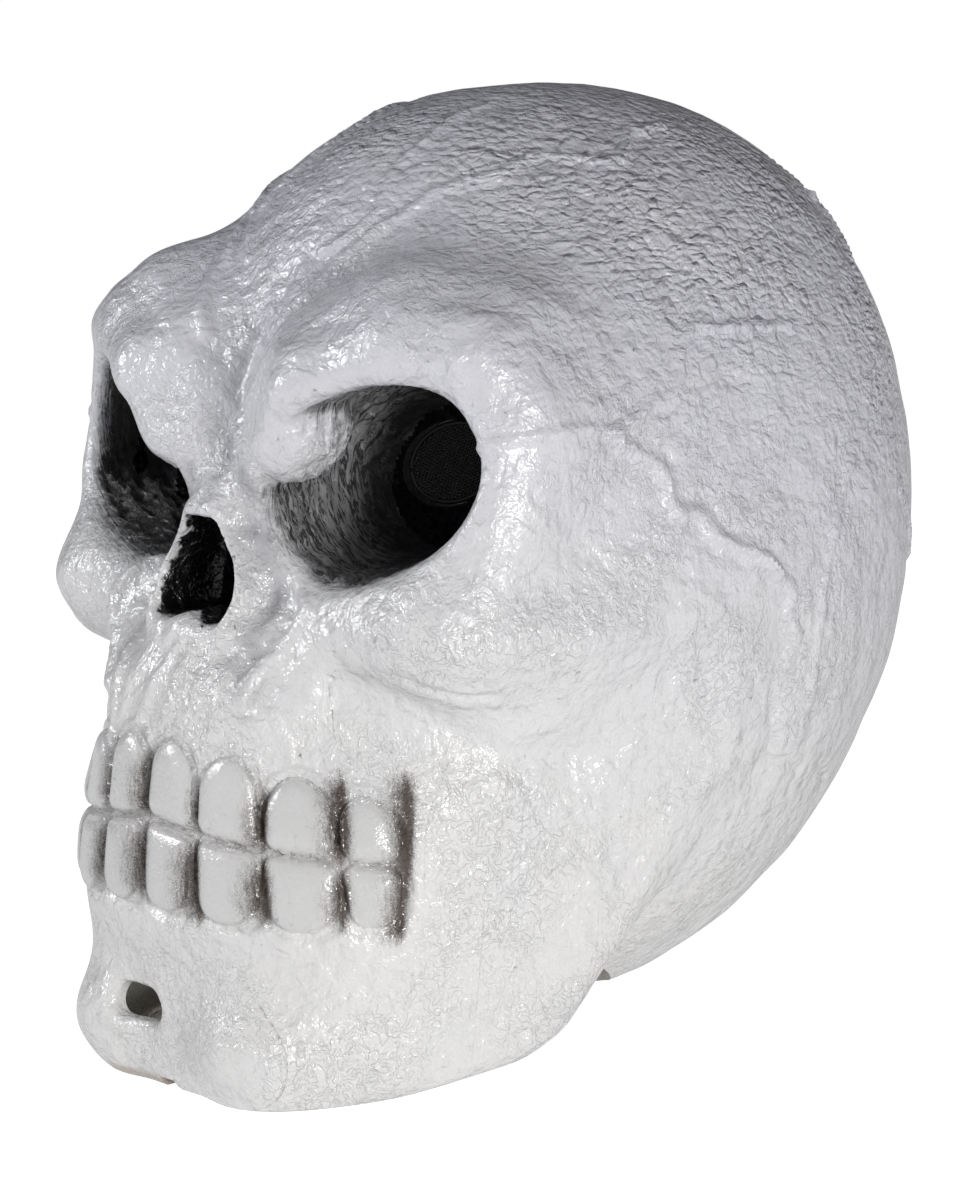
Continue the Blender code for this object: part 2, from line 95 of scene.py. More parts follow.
# resolution of the visible skin
SKIN_CELL = 3.0
LINING_CELL = 5.0


# ------------------------------------------------------------------ small shape tools
def smooth_min(a, b, k):
    h = np.clip(0.5 + 0.5 * (b - a) / k, 0.0, 1.0)
    return b + (a - b) * h - k * h * (1.0 - h)


def smooth_max(a, b, k):
    return -smooth_min(-a, -b, k)


def round_max(u, v, radius):
    """Meeting of two faces with a rounded edge."""
    pu = np.maximum(u + radius, 0.0)
    pv = np.maximum(v + radius, 0.0)
    return np.minimum(np.maximum(u, v) + radius, 0.0) + np.sqrt(pu * pu + pv * pv) - radius


def ramp(start, end, v):
    t = np.clip((v - start) / (end - start), 0.0, 1.0)
    return t * t * (3.0 - 2.0 * t)


def bell(v, centre, width):
    return np.exp(-((v - centre) / width) ** 2)


def ellipsoid(x, y, z, centre, radii, tilt=0.0):
    a = math.radians(tilt)
    dx = x - centre[0]
    dy = y - centre[1]
    dz = z - centre[2]
    dy, dz = dy * math.cos(a) + dz * math.sin(a), dz * math.cos(a) - dy * math.sin(a)
    k = np.sqrt((dx / radii[0]) ** 2 + (dy / radii[1]) ** 2 + (dz / radii[2]) ** 2) + 1e-6
    g = np.sqrt((dx / radii[0] ** 2) ** 2 + (dy / radii[1] ** 2) ** 2 + (dz / radii[2] ** 2) ** 2) + 1e-9
    return k * (k - 1.0) / g


def rod(x, y, z, start, end):
    """Round bar between two (x, y, z, radius) stations."""
    d = [end[i] - start[i] for i in range(3)]
    length2 = sum(c * c for c in d)
    dx = x - start[0]
    dy = y - start[1]
    dz = z - start[2]
    t = np.clip((dx * d[0] + dy * d[1] + dz * d[2]) / length2, 0.0, 1.0)
    gap = np.sqrt((dx - t * d[0]) ** 2 + (dy - t * d[1]) ** 2 + (dz - t * d[2]) ** 2)
    return gap - (start[3] + (end[3] - start[3]) * t)


def rods(x, y, z, stations, k):
    parts = [rod(x, y, z, a, b) for a, b in zip(stations[:-1], stations[1:])]
    total = parts[0]
    for part in parts[1:]:
        total = smooth_min(total, part, k)
    return total


LATTICE = np.random.RandomState(11).rand(32, 32, 32) * 2.0 - 1.0


def grain(p, size, shift=0.0):
    """Smooth random field between about -1 and 1, with lumps of this size."""
    q = p / size + shift
    cell = np.floor(q).astype(int)
    f = q - cell
    f = f * f * (3.0 - 2.0 * f)
    total = np.zeros(len(p))
    for corner in np.ndindex(2, 2, 2):
        weight = np.prod(np.where(corner, f, 1.0 - f), axis=1)
        at = (cell + corner) % 32
        total += weight * LATTICE[at[:, 0], at[:, 1], at[:, 2]]
    return total


# ------------------------------------------------------------------ the skull
def braincase(x, y, z):
    ax = np.sqrt(x * x + 1.0)
    d = ellipsoid(x, y, z, SKULL_CENTRE, SKULL_RADII, SKULL_TILT)
    d = smooth_min(d, ellipsoid(x, y, z, FOREHEAD_CENTRE, FOREHEAD_RADII), 36)
    d = smooth_min(d, ellipsoid(ax, y, z, (54, -28, 188), (53, 56, 66)), 20)
    return smooth_min(d, ellipsoid(x, y, z, (0, -34, 165), (88, 64, 62)), 14)


def jaw(x, y, z):
    """Flat chin with two bumps, flaring sides and a leaning rear edge."""
    ax = np.sqrt(x * x + 1.0)
    side = 0.955 * (ax - (68 + 0.15 * z)) - 0.297 * (y + 101) + 0.0016 * (y + 75) ** 2
    above = z - 74
    front = 0.45 * (above + np.sqrt(above * above + 400)) + 0.0022 * ax * ax - (y + CHIN_FRONT)
    d = round_max(front, side, 26)
    d = round_max(d, JAW_REAR_RISE * ramp(-110, 0, y) - 1.5 - z, 9)
    d = round_max(d, (y + 44) * 0.777 - (z - 9) * 0.63, 12)
    d = round_max(d, y - 14, 12)
    d = round_max(d, ax - 104, 14)
    d = smooth_max(d, z - 138, 26)
    return smooth_min(d, ellipsoid(ax, y, z, (33, -117, 17), (24, 27, 21)), 10)


def muzzle(x, y, z):
    """Rounded arch that carries the moulded teeth."""
    half_length = 104 - 8 * ramp(70, 140, z)
    r = ((np.abs(x) / 67) ** 2.7 + (np.abs(y + 35) / half_length) ** 2.7 + 1e-9) ** (1 / 2.7)
    d = (r - 1) * np.sqrt(x * x + (y + 35) ** 2 + 1e-6) / r * 0.9
    d = smooth_max(d, z - 146, 30)
    d = smooth_max(d, 50 - z, 20)
    return smooth_max(d, y + 50, 20)


def brow(ax, y, z):
    stations = [(25, -89, 202, 15), (38, -85, 219, 17), (61, -74, 231, 18),
                (82, -62, 225, 17), (93, -59, 206, 13)]
    return rods(ax, y, z, stations, 12)


def cheekbone(ax, y, z):
    d = ellipsoid(ax, y, z, (72, -62, 142), (34, 44, 26))
    d = smooth_min(d, rod(ax, y, z, (88, -46, 148, 19), (94, 16, 156, 13)), 20)
    stations = [(92, -62, 200, 12), (93, -70, 176, 13), (85, -80, 154, 16), (50, -88, 147, 14)]
    return smooth_min(d, rods(ax, y, z, stations, 12), 16)


def nose(x, ax, y, z):
    rim = [(2, -88, 190, 9), (3, -105, 177, 7), (17, -107, 158, 6), (17, -113, 146, 6)]
    d = rods(ax, y, z, rim, 5)
    d = smooth_min(d, rod(ax, y, z, (16, -113, 146, 6), (2, -116, 143, 6)), 6)
    side = [(21, -88, 189, 4), (27, -89, 168, 5), (30, -90, 150, 7), (22, -108, 130, 8)]
    d = smooth_min(d, rods(ax, y, z, side, 5), 9)
    return smooth_min(d, ellipsoid(x, y, z, (0, -92, 148), (26, 24, 34)), 8)


def socket_frame(ax, y, z):
    """Coordinates in a socket: along its length, up, and out of its mouth."""
    a = math.radians(SOCKET_TURN)
    dx = ax - SOCKET_X
    dy = y - SOCKET_Y
    dz = z - SOCKET_Z
    out = dx * math.sin(a) - dy * math.cos(a)
    along = dx * math.cos(a) + dy * math.sin(a)
    t = math.radians(SOCKET_ROLL)
    return along * math.cos(t) + dz * math.sin(t), dz * math.cos(t) - along * math.sin(t), out


def socket(ax, y, z):
    along, up, out = socket_frame(ax, y, z)
    n = 2.3
    round_sum = (np.abs(along) / SOCKET_HALF_LENGTH) ** n + (np.abs(up) / SOCKET_HALF_HEIGHT) ** n
    r = (round_sum + 1e-9) ** (1 / n)
    return smooth_max((r - 1) * SOCKET_HALF_HEIGHT, -out - SOCKET_DEPTH, 22)


def nose_hole(ax, y, z):
    half_width = 7 + (NOSE_HALF_WIDTH - 7) * ramp(NOSE_TOP + 3, NOSE_BOTTOM + 11, z)
    spine = NOSE_BOTTOM + 0.3 * np.maximum(8 - ax, 0)
    d = smooth_max(ax - half_width, spine - z, 5)
    d = smooth_max(d, z - NOSE_TOP, 3)
    return smooth_max(d, y - NOSE_FLOOR_Y, 6)


def chin_slot(x, y, z):
    """Rounded slot through the front of the chin."""
    run = np.maximum(np.abs(x - SLOT_X) - (SLOT_HALF_LENGTH - SLOT_HALF_HEIGHT), 0.0)
    d = np.sqrt(run * run + (z - SLOT_Z) ** 2) - SLOT_HALF_HEIGHT
    return smooth_max(d, y + 116, 3)


def bare_head(x, y, z):
    """Outer face before the sockets and the nose are sunk into it."""
    ax = np.sqrt(x * x + 1.0)
    d = braincase(x, y, z)
    d = smooth_min(d, smooth_min(jaw(x, y, z), muzzle(x, y, z), 18), 9)
    d = smooth_min(d, brow(ax, y, z), 28)
    d = smooth_min(d, cheekbone(ax, y, z), 22)
    return smooth_min(d, nose(x, ax, y, z), 8)


def brow_bulb(ax, y, z):
    """Swollen inner end of a brow, which overhangs the corner of the socket."""
    return ellipsoid(ax, y, z, (26, -93, 208), (17, 20, 19))


def nasion(x, y, z):
    """Notch between the brows, over the root of the nose."""
    return ellipsoid(x, y, z, (0, -109, 206), (12.5, 16, 15))


def head(x, y, z):
    """Outer face of the mask: negative inside."""
    ax = np.sqrt(x * x + 1.0)
    hollow = smooth_max(socket(ax, y, z), -brow_bulb(ax, y, z), 5)
    d = smooth_max(bare_head(x, y, z), -hollow, 5)
    d = smooth_max(d, -nasion(x, y, z), 6)
    d = smooth_max(d, -nose_hole(ax, y, z), 3)
    return smooth_max(d, -chin_slot(x, y, z), 2.5)


def neck_outline(x, y):
    """Plan of the neck opening: negative inside."""
    n = 2.4
    round_sum = (np.abs(x) / HOLE_HALF_WIDTH) ** n + (np.abs(y - HOLE_CENTRE_Y) / HOLE_HALF_LENGTH) ** n
    r = (round_sum + 1e-9) ** (1 / n)
    oval = (r - 1) * HOLE_HALF_WIDTH
    ax = np.sqrt(x * x + 1.0)
    level = np.full_like(x, 26.0)
    plain = smooth_max(bare_head(x, y, level), -socket(ax, y, level), 5)
    return np.maximum(oval, plain + HEM_LIP - 40 * ramp(-75, -45, y))


def cavity(x, y, z):
    """Space inside the mask: negative inside."""
    ax = np.sqrt(x * x + 1.0)
    d = smooth_max(bare_head(x, y, z) + WALL, WALL - socket(ax, y, z), 16)
    d = smooth_max(d, -ellipsoid(x, y, z, (0, -98, 160), (34, 19, 40)), 10)
    d = smooth_max(d, WALL - brow_bulb(ax, y, z), 6)
    return smooth_max(d, WALL - nasion(x, y, z), 6)


# ------------------------------------------------------------------ relief on the skin, in mm
def along_arch(x, y):
    """Distance round the dental arch from the midline, with the side's sign."""
    turn = np.degrees(np.arctan2(np.abs(x), -(y - ARCH_MIDDLE_Y)))
    return np.interp(turn, ARCH_TURNS, TOOTH_EDGES) * np.sign(x)


def slab(u, v, half_u, half_v, top_radius, bottom_radius):
    """Distance outside a rectangle with its own corner radii above and below."""
    r = np.where(v > 0, top_radius, bottom_radius)
    qu = np.abs(u) - half_u + r
    qv = np.abs(v) - half_v + r
    outside = np.sqrt(np.maximum(qu, 0) ** 2 + np.maximum(qv, 0) ** 2)
    return np.minimum(np.maximum(qu, qv), 0) + outside - r


def tooth_rows(p):
    """Height of the teeth and the gum arches over the plain muzzle."""
    x, y, z = p.T
    s = np.abs(along_arch(x, y))
    bite = BITE_Z - BITE_FALL * s
    height = np.zeros(len(p))
    nearest = np.full(len(p), 50.0)
    for k in range(4):
        middle = 0.5 * (TOOTH_EDGES[k] + TOOTH_EDGES[k + 1])
        half = 0.5 * (TOOTH_EDGES[k + 1] - TOOTH_EDGES[k])
        for upper in (True, False):
            end = GUM_TOPS[k] if upper else GUM_BOTTOMS[k]
            near = bite + (0.7 if upper else -0.9)
            centre = 0.5 * (end + near)
            tall = np.abs(end - near) * 0.5
            gum = half * (0.95 if upper else 0.7)
            radii = (gum, 4.5) if upper else (4.0, gum)
            narrow = 0.7 + (0.7 if upper else 1.2) * ramp(0.0, 1.0, (z - near) / (end - near))
            d = slab(s - middle, z - centre, half - narrow, tall, *radii)
            t = np.clip(-d / 7.0, 0.0, 1.0)
            crown = (3.8 if upper else 2.9) * np.sqrt(1.0 - (1.0 - t) ** 2)
            height = np.maximum(height, crown)
            nearest = np.minimum(nearest, d)
            if upper:
                above = ramp(0.2, 0.7, (z - near) / (end - near))
                height = np.maximum(height, 0.95 * above * bell(d, 2.3, 1.0))
    rows = ramp(-6, 4, z - 57) * ramp(4, -8, z - 108 + 0.16 * s) * ramp(93, 86, s)
    return height - 1.6 * rows * ramp(-0.3, 0.6, nearest) * ramp(5.0, 2.0, nearest)


# raised veins, cracks and seams: (width, height, [(turn, rise), ...]) seen from the skull's centre,
# in degrees from straight ahead and up from level
LINES = {
    "temple_vein": (1.9, 2.1, [(61, 24), (66, 20), (69, 15), (74, 12), (79, 7), (88, 2)]),
    "temple_vein_start": (1.4, 1.0, [(42, 21), (52, 22), (61, 24)]),
    "ear_vein": (1.7, 1.4, [(86, 4), (91, -2), (93, -10)]),
    "upper_crack": (1.4, 1.2, [(61, 24), (69, 28), (74, 33), (78, 38), (81, 39), (91, 38), (103, 37)]),
    "forehead_vein": (1.8, 1.5, [(6, 37), (10, 41), (15, 47), (22, 52), (28, 57), (44, 61), (52, 64)]),
    "crown_vein": (1.6, 1.6, [(52, 64), (79, 65), (92, 70), (110, 69)]),
    "middle_vein": (1.6, 1.2, [(9, 48), (19, 54), (17, 62), (24, 73), (39, 78)]),
    "seam": (1.5, 1.0, [(168, 58), (150, 48), (135, 35), (119, 23), (108, 13), (101, 1), (98, -8),
                        (97, -22)]),
    "rear_crack": (1.4, -1.2, [(89, -17), (91, -30), (100, -33)]),
    "low_crack": (1.4, -1.0, [(106, -33), (112, -36), (118, -42)]),
    "cheek_crack": (1.4, -1.1, [(33, -4), (36, -6), (43, -8)]),
    "nape_crack": (1.6, 1.1, [(128, 8), (140, -4), (151, -9), (160, -20)]),
    "back_vein": (1.8, 1.4, [(150, 48), (158, 34), (171, 26), (176, 12)]),
    "nose_side": (2.0, 1.8, [(9, 19), (11, 13), (14, 8), (18, 2), (18, 0), (15, -3), (12, -7)]),
}
# folds under the nose, on the side that each is written for
FOLDS = {
    "right_root": (2.4, 0.6, [(-5, -3), (-8, -11)]),
    "middle_root": (1.8, 0.8, [(0, -3), (-4, -10)]),
    "left_root": (2.6, 0.7, [(4, -3), (-1, -13)]),
    "left_outer_root": (2.6, 1.0, [(11, -3), (8, -14)]),
    "right_outer_root": (2.6, 1.0, [(-11, -4), (-9, -14)]),
    "glabella_cleft": (2.4, -1.4, [(0, 38), (0, 31), (0, 24), (0, 18)]),
}
# broad swells and hollows, mirrored: (width, height, stations)
SWELLS = {
    "brow_valley": (8.0, -2.2, [(10, 25), (13, 29), (18, 34), (33, 38), (43, 38), (51, 34)]),
    "brow_crest": (7.0, 1.8, [(18, 27), (32, 30), (43, 30), (50, 26)]),
    "brow_bulb": (9.0, 3.0, [(13, 23), (15, 27), (17, 30)]),
    "nose_valley": (4.0, -2.2, [(7, 12), (11, 4), (9, -3)]),
    "cheek_hollow": (7.5, -3.2, [(24, -6), (31, -8), (40, -15), (52, -20)]),
    "cheekbone": (9.0, 2.4, [(32, 1), (45, -1), (60, -3), (74, -3)]),
    "ramus_edge": (5.0, 1.8, [(80, -7), (80, -17), (80, -27), (67, -34), (63, -40)]),
    "ramus_valley": (5.0, -2.0, [(90, -8), (90, -20), (88, -32)]),
}


def directions(p):
    q = p - np.array(SKULL_CENTRE)
    radius = np.linalg.norm(q, axis=1)
    return q / radius[:, None], radius


def facing_points(turn, rise):
    """Unit directions from turns and rises in radians."""
    return np.stack([np.sin(turn) * np.cos(rise), -np.cos(turn) * np.cos(rise), np.sin(rise)], 1)


def chords(facing, line, part=20000):
    """Chord from each unit direction to the closest one on a line, worked out in parts to save memory."""
    closest = [(facing[i:i + part] @ line.T).max(1) for i in range(0, len(facing), part)]
    return np.sqrt(np.maximum(2.0 - 2.0 * np.concatenate(closest), 0.0))


def line_points(stations, side, wobble):
    """Unit directions along a line, close together, with a small irregular wander."""
    turn, rise = np.array(stations, float).T
    at = np.linspace(0, len(stations) - 1, 14 * (len(stations) - 1) + 1)
    turn = np.interp(at, range(len(stations)), turn)
    rise = np.interp(at, range(len(stations)), rise)
    seed = np.stack([at * 1.9 + wobble, at * 0.0 + wobble, at * 0.7], 1)
    turn = np.radians(turn + 1.3 * grain(seed, 1.0)) * side
    return facing_points(turn, np.radians(rise + 1.0 * grain(seed, 1.0, 7.3)))


def line_distances(p):
    """Distance in mm from every line, as (distance, width, height) triples."""
    facing, radius = directions(p)
    found = []
    groups = [(line, (1, -1)) for line in LINES.values()] + [(line, (1,)) for line in FOLDS.values()]
    for number, ((width, height, stations), sides) in enumerate(groups):
        for side in sides:
            shifted = [(t + (0 if side > 0 else 3), r - (0 if side > 0 else 2)) for t, r in stations]
            line = line_points(shifted, side, 3.1 * number + (0 if side > 0 else 50))
            found.append((chords(facing, line) * radius, width, height))
    return found


def swell(p):
    """Broad modelling of the brows, nose and cheeks over the smooth skull."""
    facing, radius = directions(np.abs(p) * np.array([1, 0, 0]) + p * np.array([0, 1, 1]))
    height = np.zeros(len(p))
    for width, rise, stations in SWELLS.values():
        turn, up = np.radians(np.array(stations, float)).T
        at = np.linspace(0, len(stations) - 1, 40)
        turn = np.interp(at, range(len(stations)), turn)
        up = np.interp(at, range(len(stations)), up)
        height += rise * bell(chords(facing, facing_points(turn, up)) * radius, 0.0, width)
    return height


def cup_coordinates(x, y, z):
    """Position round and down the wall of a socket."""
    ax = np.sqrt(x * x + 1.0)
    along, up, out = socket_frame(ax, y, z)
    angle = np.arctan2(up / SOCKET_HALF_HEIGHT, along / SOCKET_HALF_LENGTH)
    return np.stack([np.cos(angle) * np.sign(x), np.sin(angle), out], 1)


def cup_core(x, y, z):
    """Distance from the black middle of a socket: 1 where the grey dry-brushed zone begins."""
    along, up, _ = socket_frame(np.sqrt(x * x + 1.0), y, z)
    return np.hypot((along - 8.0) / SOCKET_HALF_LENGTH, (up + 5.0) / SOCKET_HALF_HEIGHT)


def relief(p):
    """Height of the sculpted detail over the smooth skull."""
    x, y, z = p.T
    ax = np.sqrt(x * x + 1.0)
    depth = -bare_head(x, y, z)
    skin = 1.0 - ramp(1.0, 5.0, depth)
    rear = ramp(-90, 0, y)
    height = 0.55 * grain(p, 27.0) + (0.2 + 0.15 * rear) * grain(p, 12.0, 5.0) + 0.16 * grain(p, 6.5, 9.0)
    for gap, width, rise in line_distances(p):
        height += rise * bell(gap, 0.0, width) - 0.25 * rise * bell(gap, 2.2 * width, width)
    height += swell(p) * skin
    teeth = tooth_rows(p) * ramp(-60, -80, y)
    calm = ramp(0.2, 1.5, teeth)
    height = height * (1.0 - 0.75 * calm) + teeth
    around = cup_coordinates(x, y, z) * np.array([2.6, 2.6, 0.55])
    wrinkle = 1.0 - 2.0 * np.abs(grain(around, 1.0)) - 0.9 * np.abs(grain(around, 0.5, 4.0))
    in_cup = ramp(2.0, 6.0, depth) * ramp(34.0, 18.0, depth) * (socket(ax, y, z) < 6)
    in_cup = in_cup * ramp(0.6, 0.95, cup_core(x, y, z))
    height = height * (0.3 + 0.7 * skin) + 1.5 * in_cup * wrinkle
    return height * ramp(0.0, 5.0, z)


# ------------------------------------------------------------------ meshes
def surface_points(field, low, high, cell):
    """Closed quad surface of the field's zero level, one vertex per crossed cell."""
    axes = [np.arange(low[i], high[i] + cell, cell) for i in range(3)]
    value = field(*np.meshgrid(*axes, indexing="ij"))
    inside = value < 0
    corners = list(np.ndindex(2, 2, 2))
    shape = tuple(n - 1 for n in value.shape)

    def corner(grid, k):
        return grid[k[0]:k[0] + shape[0], k[1]:k[1] + shape[1], k[2]:k[2] + shape[2]]

    total = np.zeros(shape + (3,))
    count = np.zeros(shape)
    for a in corners:
        for axis in range(3):
            if a[axis]:
                continue
            b = tuple(1 if i == axis else a[i] for i in range(3))
            va = corner(value, a)
            vb = corner(value, b)
            cross = (va < 0) != (vb < 0)
            t = np.where(cross, va / np.where(cross, va - vb, 1.0), 0.0)
            for i in range(3):
                at = a[i] + (t if i == axis else 0.0)
                total[..., i] += np.where(cross, at, 0.0)
            count += cross
    used = count > 0
    number = np.full(shape, -1)
    number[used] = np.arange(used.sum())
    points = (total[used] / count[used][:, None] + np.argwhere(used)) * cell + np.array(low)
    faces = []
    for axis in range(3):
        u = (axis + 1) % 3
        v = (axis + 2) % 3
        first = np.take(inside, range(value.shape[axis] - 1), axis)
        second = np.take(inside, range(1, value.shape[axis]), axis)
        where = np.argwhere(first != second)
        keep = (where[:, u] > 0) & (where[:, v] > 0) & (where[:, u] < shape[u]) & (where[:, v] < shape[v])
        where = where[keep]
        ring = []
        for du, dv in ((-1, -1), (0, -1), (0, 0), (-1, 0)):
            at = where.copy()
            at[:, u] += du
            at[:, v] += dv
            ring.append(number[tuple(at.T)])
        ring = np.stack(ring, 1)
        outward = inside[tuple(where.T)]
        ring[~outward] = ring[~outward][:, ::-1]
        faces.extend(ring.tolist())
    return settle(field, points)[0], faces


def settle(field, points, rounds=3):
    """Points moved onto the field's zero level, and the field's unit slope there."""
    e = 0.5
    for _ in range(rounds):
        x, y, z = points.T
        value = field(x, y, z)
        slope = np.stack([
            field(x + e, y, z) - field(x - e, y, z),
            field(x, y + e, z) - field(x, y - e, z),
            field(x, y, z + e) - field(x, y, z - e)], 1) / (2 * e)
        length2 = np.maximum((slope ** 2).sum(1), 0.3)
        move = -(value / length2)[:, None] * slope
        size = np.maximum(np.abs(move).max(1), 1e-9)
        points = points + move * np.minimum(1.0, 1.5 / size)[:, None]
    return points, slope / np.maximum(np.linalg.norm(slope, axis=1), 1e-6)[:, None]


def add_object(name, points, faces, mat):
    """Make one object from points in shape millimetres."""
    mesh = bpy.data.meshes.new(name)
    placed = (np.array(points, float) - np.array([0.0, CENTRE_Y, 0.0])) * MM
    mesh.from_pydata(placed.tolist(), [], faces)
    mesh.update()
    mesh.materials.append(mat)
    obj = bpy.data.objects.new(name, mesh)
    bpy.context.scene.collection.objects.link(obj)
    return obj


def shape_points(mesh):
    """The mesh's vertices in shape millimetres."""
    flat = np.empty(len(mesh.vertices) * 3)
    mesh.vertices.foreach_get("co", flat)
    return flat.reshape(-1, 3) / MM + np.array([0.0, CENTRE_Y, 0.0])


def baked(obj):
    """Replace the object's mesh with the result of its modifiers."""
    bpy.context.view_layer.update()
    graph = bpy.context.evaluated_depsgraph_get()
    mesh = bpy.data.meshes.new_from_object(obj.evaluated_get(graph))
    old = obj.data
    obj.modifiers.clear()
    obj.data = mesh
    bpy.data.meshes.remove(old)
    return obj


def cut(obj, cutters):
    for cutter in cutters:
        modifier = obj.modifiers.new("cut", "BOOLEAN")
        modifier.operation = "DIFFERENCE"
        modifier.solver = "EXACT"
        modifier.object = cutter
        baked(obj)
        bpy.data.objects.remove(cutter)
    return obj


def smooth_shaded(obj, crease=180.0):
    mesh = obj.data
    mesh.polygons.foreach_set("use_smooth", [True] * len(mesh.polygons))
    if crease < 180.0:
        mesh.set_sharp_from_angle(angle=math.radians(crease))
    mesh.update()
    return obj


def facing_out(points, faces):
    """The same faces, turned round if they enclose a negative volume."""
    p = np.array(points, float)
    volume = 0.0
    for face in faces:
        a = p[face[0]]
        for i in range(1, len(face) - 1):
            volume += float(np.dot(a, np.cross(p[face[i]], p[face[i + 1]])))
    return faces if volume > 0 else [list(face)[::-1] for face in faces]


def prism_points(bottom, top):
    """Closed solid between two loops with the same number of points."""
    n = len(bottom)
    faces = [list(range(n))[::-1], list(range(n, 2 * n))]
    faces += [(i, (i + 1) % n, n + (i + 1) % n, n + i) for i in range(n)]
    points = list(bottom) + list(top)
    return points, facing_out(points, faces)


def ring_points(loops):
    """Closed ring: loops are its rows of points in order round the section."""
    rows = len(loops)
    n = len(loops[0])
    points = [p for loop in loops for p in loop]
    faces = []
    for r in range(rows):
        s = (r + 1) % rows
        for i in range(n):
            j = (i + 1) % n
            faces.append((r * n + i, r * n + j, s * n + j, s * n + i))
    return points, facing_out(points, faces)


def box_points(low, high):
    points = [(x, y, z) for z in (low[2], high[2]) for y in (low[1], high[1]) for x in (low[0], high[0])]
    faces = [(0, 2, 3, 1), (4, 5, 7, 6), (0, 1, 5, 4), (2, 6, 7, 3), (0, 4, 6, 2), (1, 3, 7, 5)]
    return points, faces


def farthest_inside(field, origin, rays, reach):
    """Points along rays from an origin, as far as the field stays negative."""
    near = np.zeros(len(rays))
    far = np.full(len(rays), float(reach))
    for _ in range(28):
        mid = 0.5 * (near + far)
        inside = field(*(np.array(origin) + mid[:, None] * rays).T) < 0
        near = np.where(inside, mid, near)
        far = np.where(inside, far, mid)
    return np.array(origin) + near[:, None] * rays


def outline_loop(offset, count=72):
    """Plan of the neck opening, moved inwards by an offset."""
    angle = round_angles(count)
    rays = np.stack([np.cos(angle), np.sin(angle)], 1)
    return farthest_inside(lambda x, y: neck_outline(x, y) + offset, (0.0, HOLE_CENTRE_Y), rays, 140)


def round_angles(count, shift=0.0):
    return (np.arange(count) + shift) * 2 * math.pi / count


def socket_place(side, along, up, out):
    """Points along and up a socket's oval, and out of its reference plane."""
    a = math.radians(SOCKET_TURN)
    t = math.radians(SOCKET_ROLL)
    flat = along * math.cos(t) - up * math.sin(t)
    x = SOCKET_X + flat * math.cos(a) + out * math.sin(a)
    y = SOCKET_Y + flat * math.sin(a) - out * math.cos(a)
    z = SOCKET_Z + along * math.sin(t) + up * math.cos(t)
    return np.stack([side * x, y, z], 1)


def socket_loop(side, half_length, half_height, out):
    """Oval across a socket, at a distance out of its reference plane."""
    angle = round_angles(40)
    return socket_place(side, half_length * np.cos(angle), half_height * np.sin(angle), out)


def refined(points, faces, wanted):
    """Split the faces whose middle is wanted."""
    bm = bmesh.new()
    verts = [bm.verts.new(p) for p in points]
    for face in faces:
        bm.faces.new([verts[i] for i in face])
    bm.faces.ensure_lookup_table()
    middles = np.array([f.calc_center_median() for f in bm.faces])
    chosen = wanted(middles)
    edges = {e for f, pick in zip(bm.faces, chosen) if pick for e in f.edges}
    bmesh.ops.subdivide_edges(bm, edges=list(edges), cuts=1, use_grid_fill=True)
    bm.verts.index_update()
    points = np.array([v.co for v in bm.verts])
    faces = [[v.index for v in f.verts] for f in bm.faces]
    bm.free()
    return points, faces


def needs_detail(p):
    """Face, sockets and the strips along veins and seams."""
    close = p[:, 1] < -52
    for gap, width, _ in line_distances(p):
        close |= gap < 3.2 * width + 2.0
    return close


def needs_fine_detail(p):
    """Teeth, gums and the rim of the nose opening."""
    x, y, z = p.T
    s = np.abs(along_arch(x, y))
    teeth = (z > 53) & (z < 119) & (s < 92) & (y < -80)
    nostril = (np.abs(x) < 24) & (z > 138) & (z < 186) & (y < -84)
    return teeth | nostril


def make_shell(skin, lining, black):
    """Sculpted skin less the cavity, the neck opening and the see-through windows."""
    low = (-126, -156, -12)
    high = (126, 176, 316)
    points, faces = surface_points(head, low, high, SKIN_CELL)
    points, faces = refined(points, faces, needs_detail)
    points, faces = refined(points, faces, needs_fine_detail)
    points, out = settle(head, points, 2)
    points = points + relief(points)[:, None] * out
    shell = add_object("skull_skin", points, faces, skin)
    shell.data.materials.append(lining)
    void = add_object("void", *surface_points(cavity, low, high, LINING_CELL), lining)
    edge = outline_loop(0.0)
    neck = prism_points([(x, y, -30.0) for x, y in edge], [(x, y, 58.0) for x, y in edge])
    front = edge[:, 1].min()
    cutters = [void, add_object("neck", *neck, lining),
               add_object("floor", *box_points((-200, -250, -60), (200, 250, 0.0)), skin),
               add_object("notch", *box_points((-4.2, -150, -5), (4.2, front + 3, 3.9)), skin)]
    for side in (-1, 1):
        back = socket_loop(side, WINDOW_HALF_LENGTH, WINDOW_HALF_HEIGHT, -SOCKET_DEPTH - 16)
        mouth = socket_loop(side, WINDOW_HALF_LENGTH, WINDOW_HALF_HEIGHT, -SOCKET_DEPTH + 14)
        cutters.append(add_object("window", *prism_points(back, mouth), skin))
    angle = round_angles(32, 0.5)
    across = NOSTRIL_RADIUS * np.cos(angle)
    height = NOSTRIL_Z + NOSTRIL_RADIUS * np.sin(angle)
    ring = [np.stack([across, np.full(32, y), height], 1) for y in (NOSE_FLOOR_Y + 16, NOSE_FLOOR_Y - 12)]
    cutters.append(add_object("nostril", *prism_points(*ring), skin))
    for cutter in cutters:
        if cutter.data.materials[0] is lining:
            cutter.data.materials.clear()
            cutter.data.materials.append(skin)
            cutter.data.materials.append(lining)
            cutter.data.polygons.foreach_set("material_index", [1] * len(cutter.data.polygons))
    cut(shell, cutters)
    paint_attributes(shell.data)
    blacken(shell.data, black)
    return smooth_shaded(shell, 50.0)


def unit(v):
    return v / np.maximum(np.linalg.norm(v, axis=-1, keepdims=True), 1e-9)


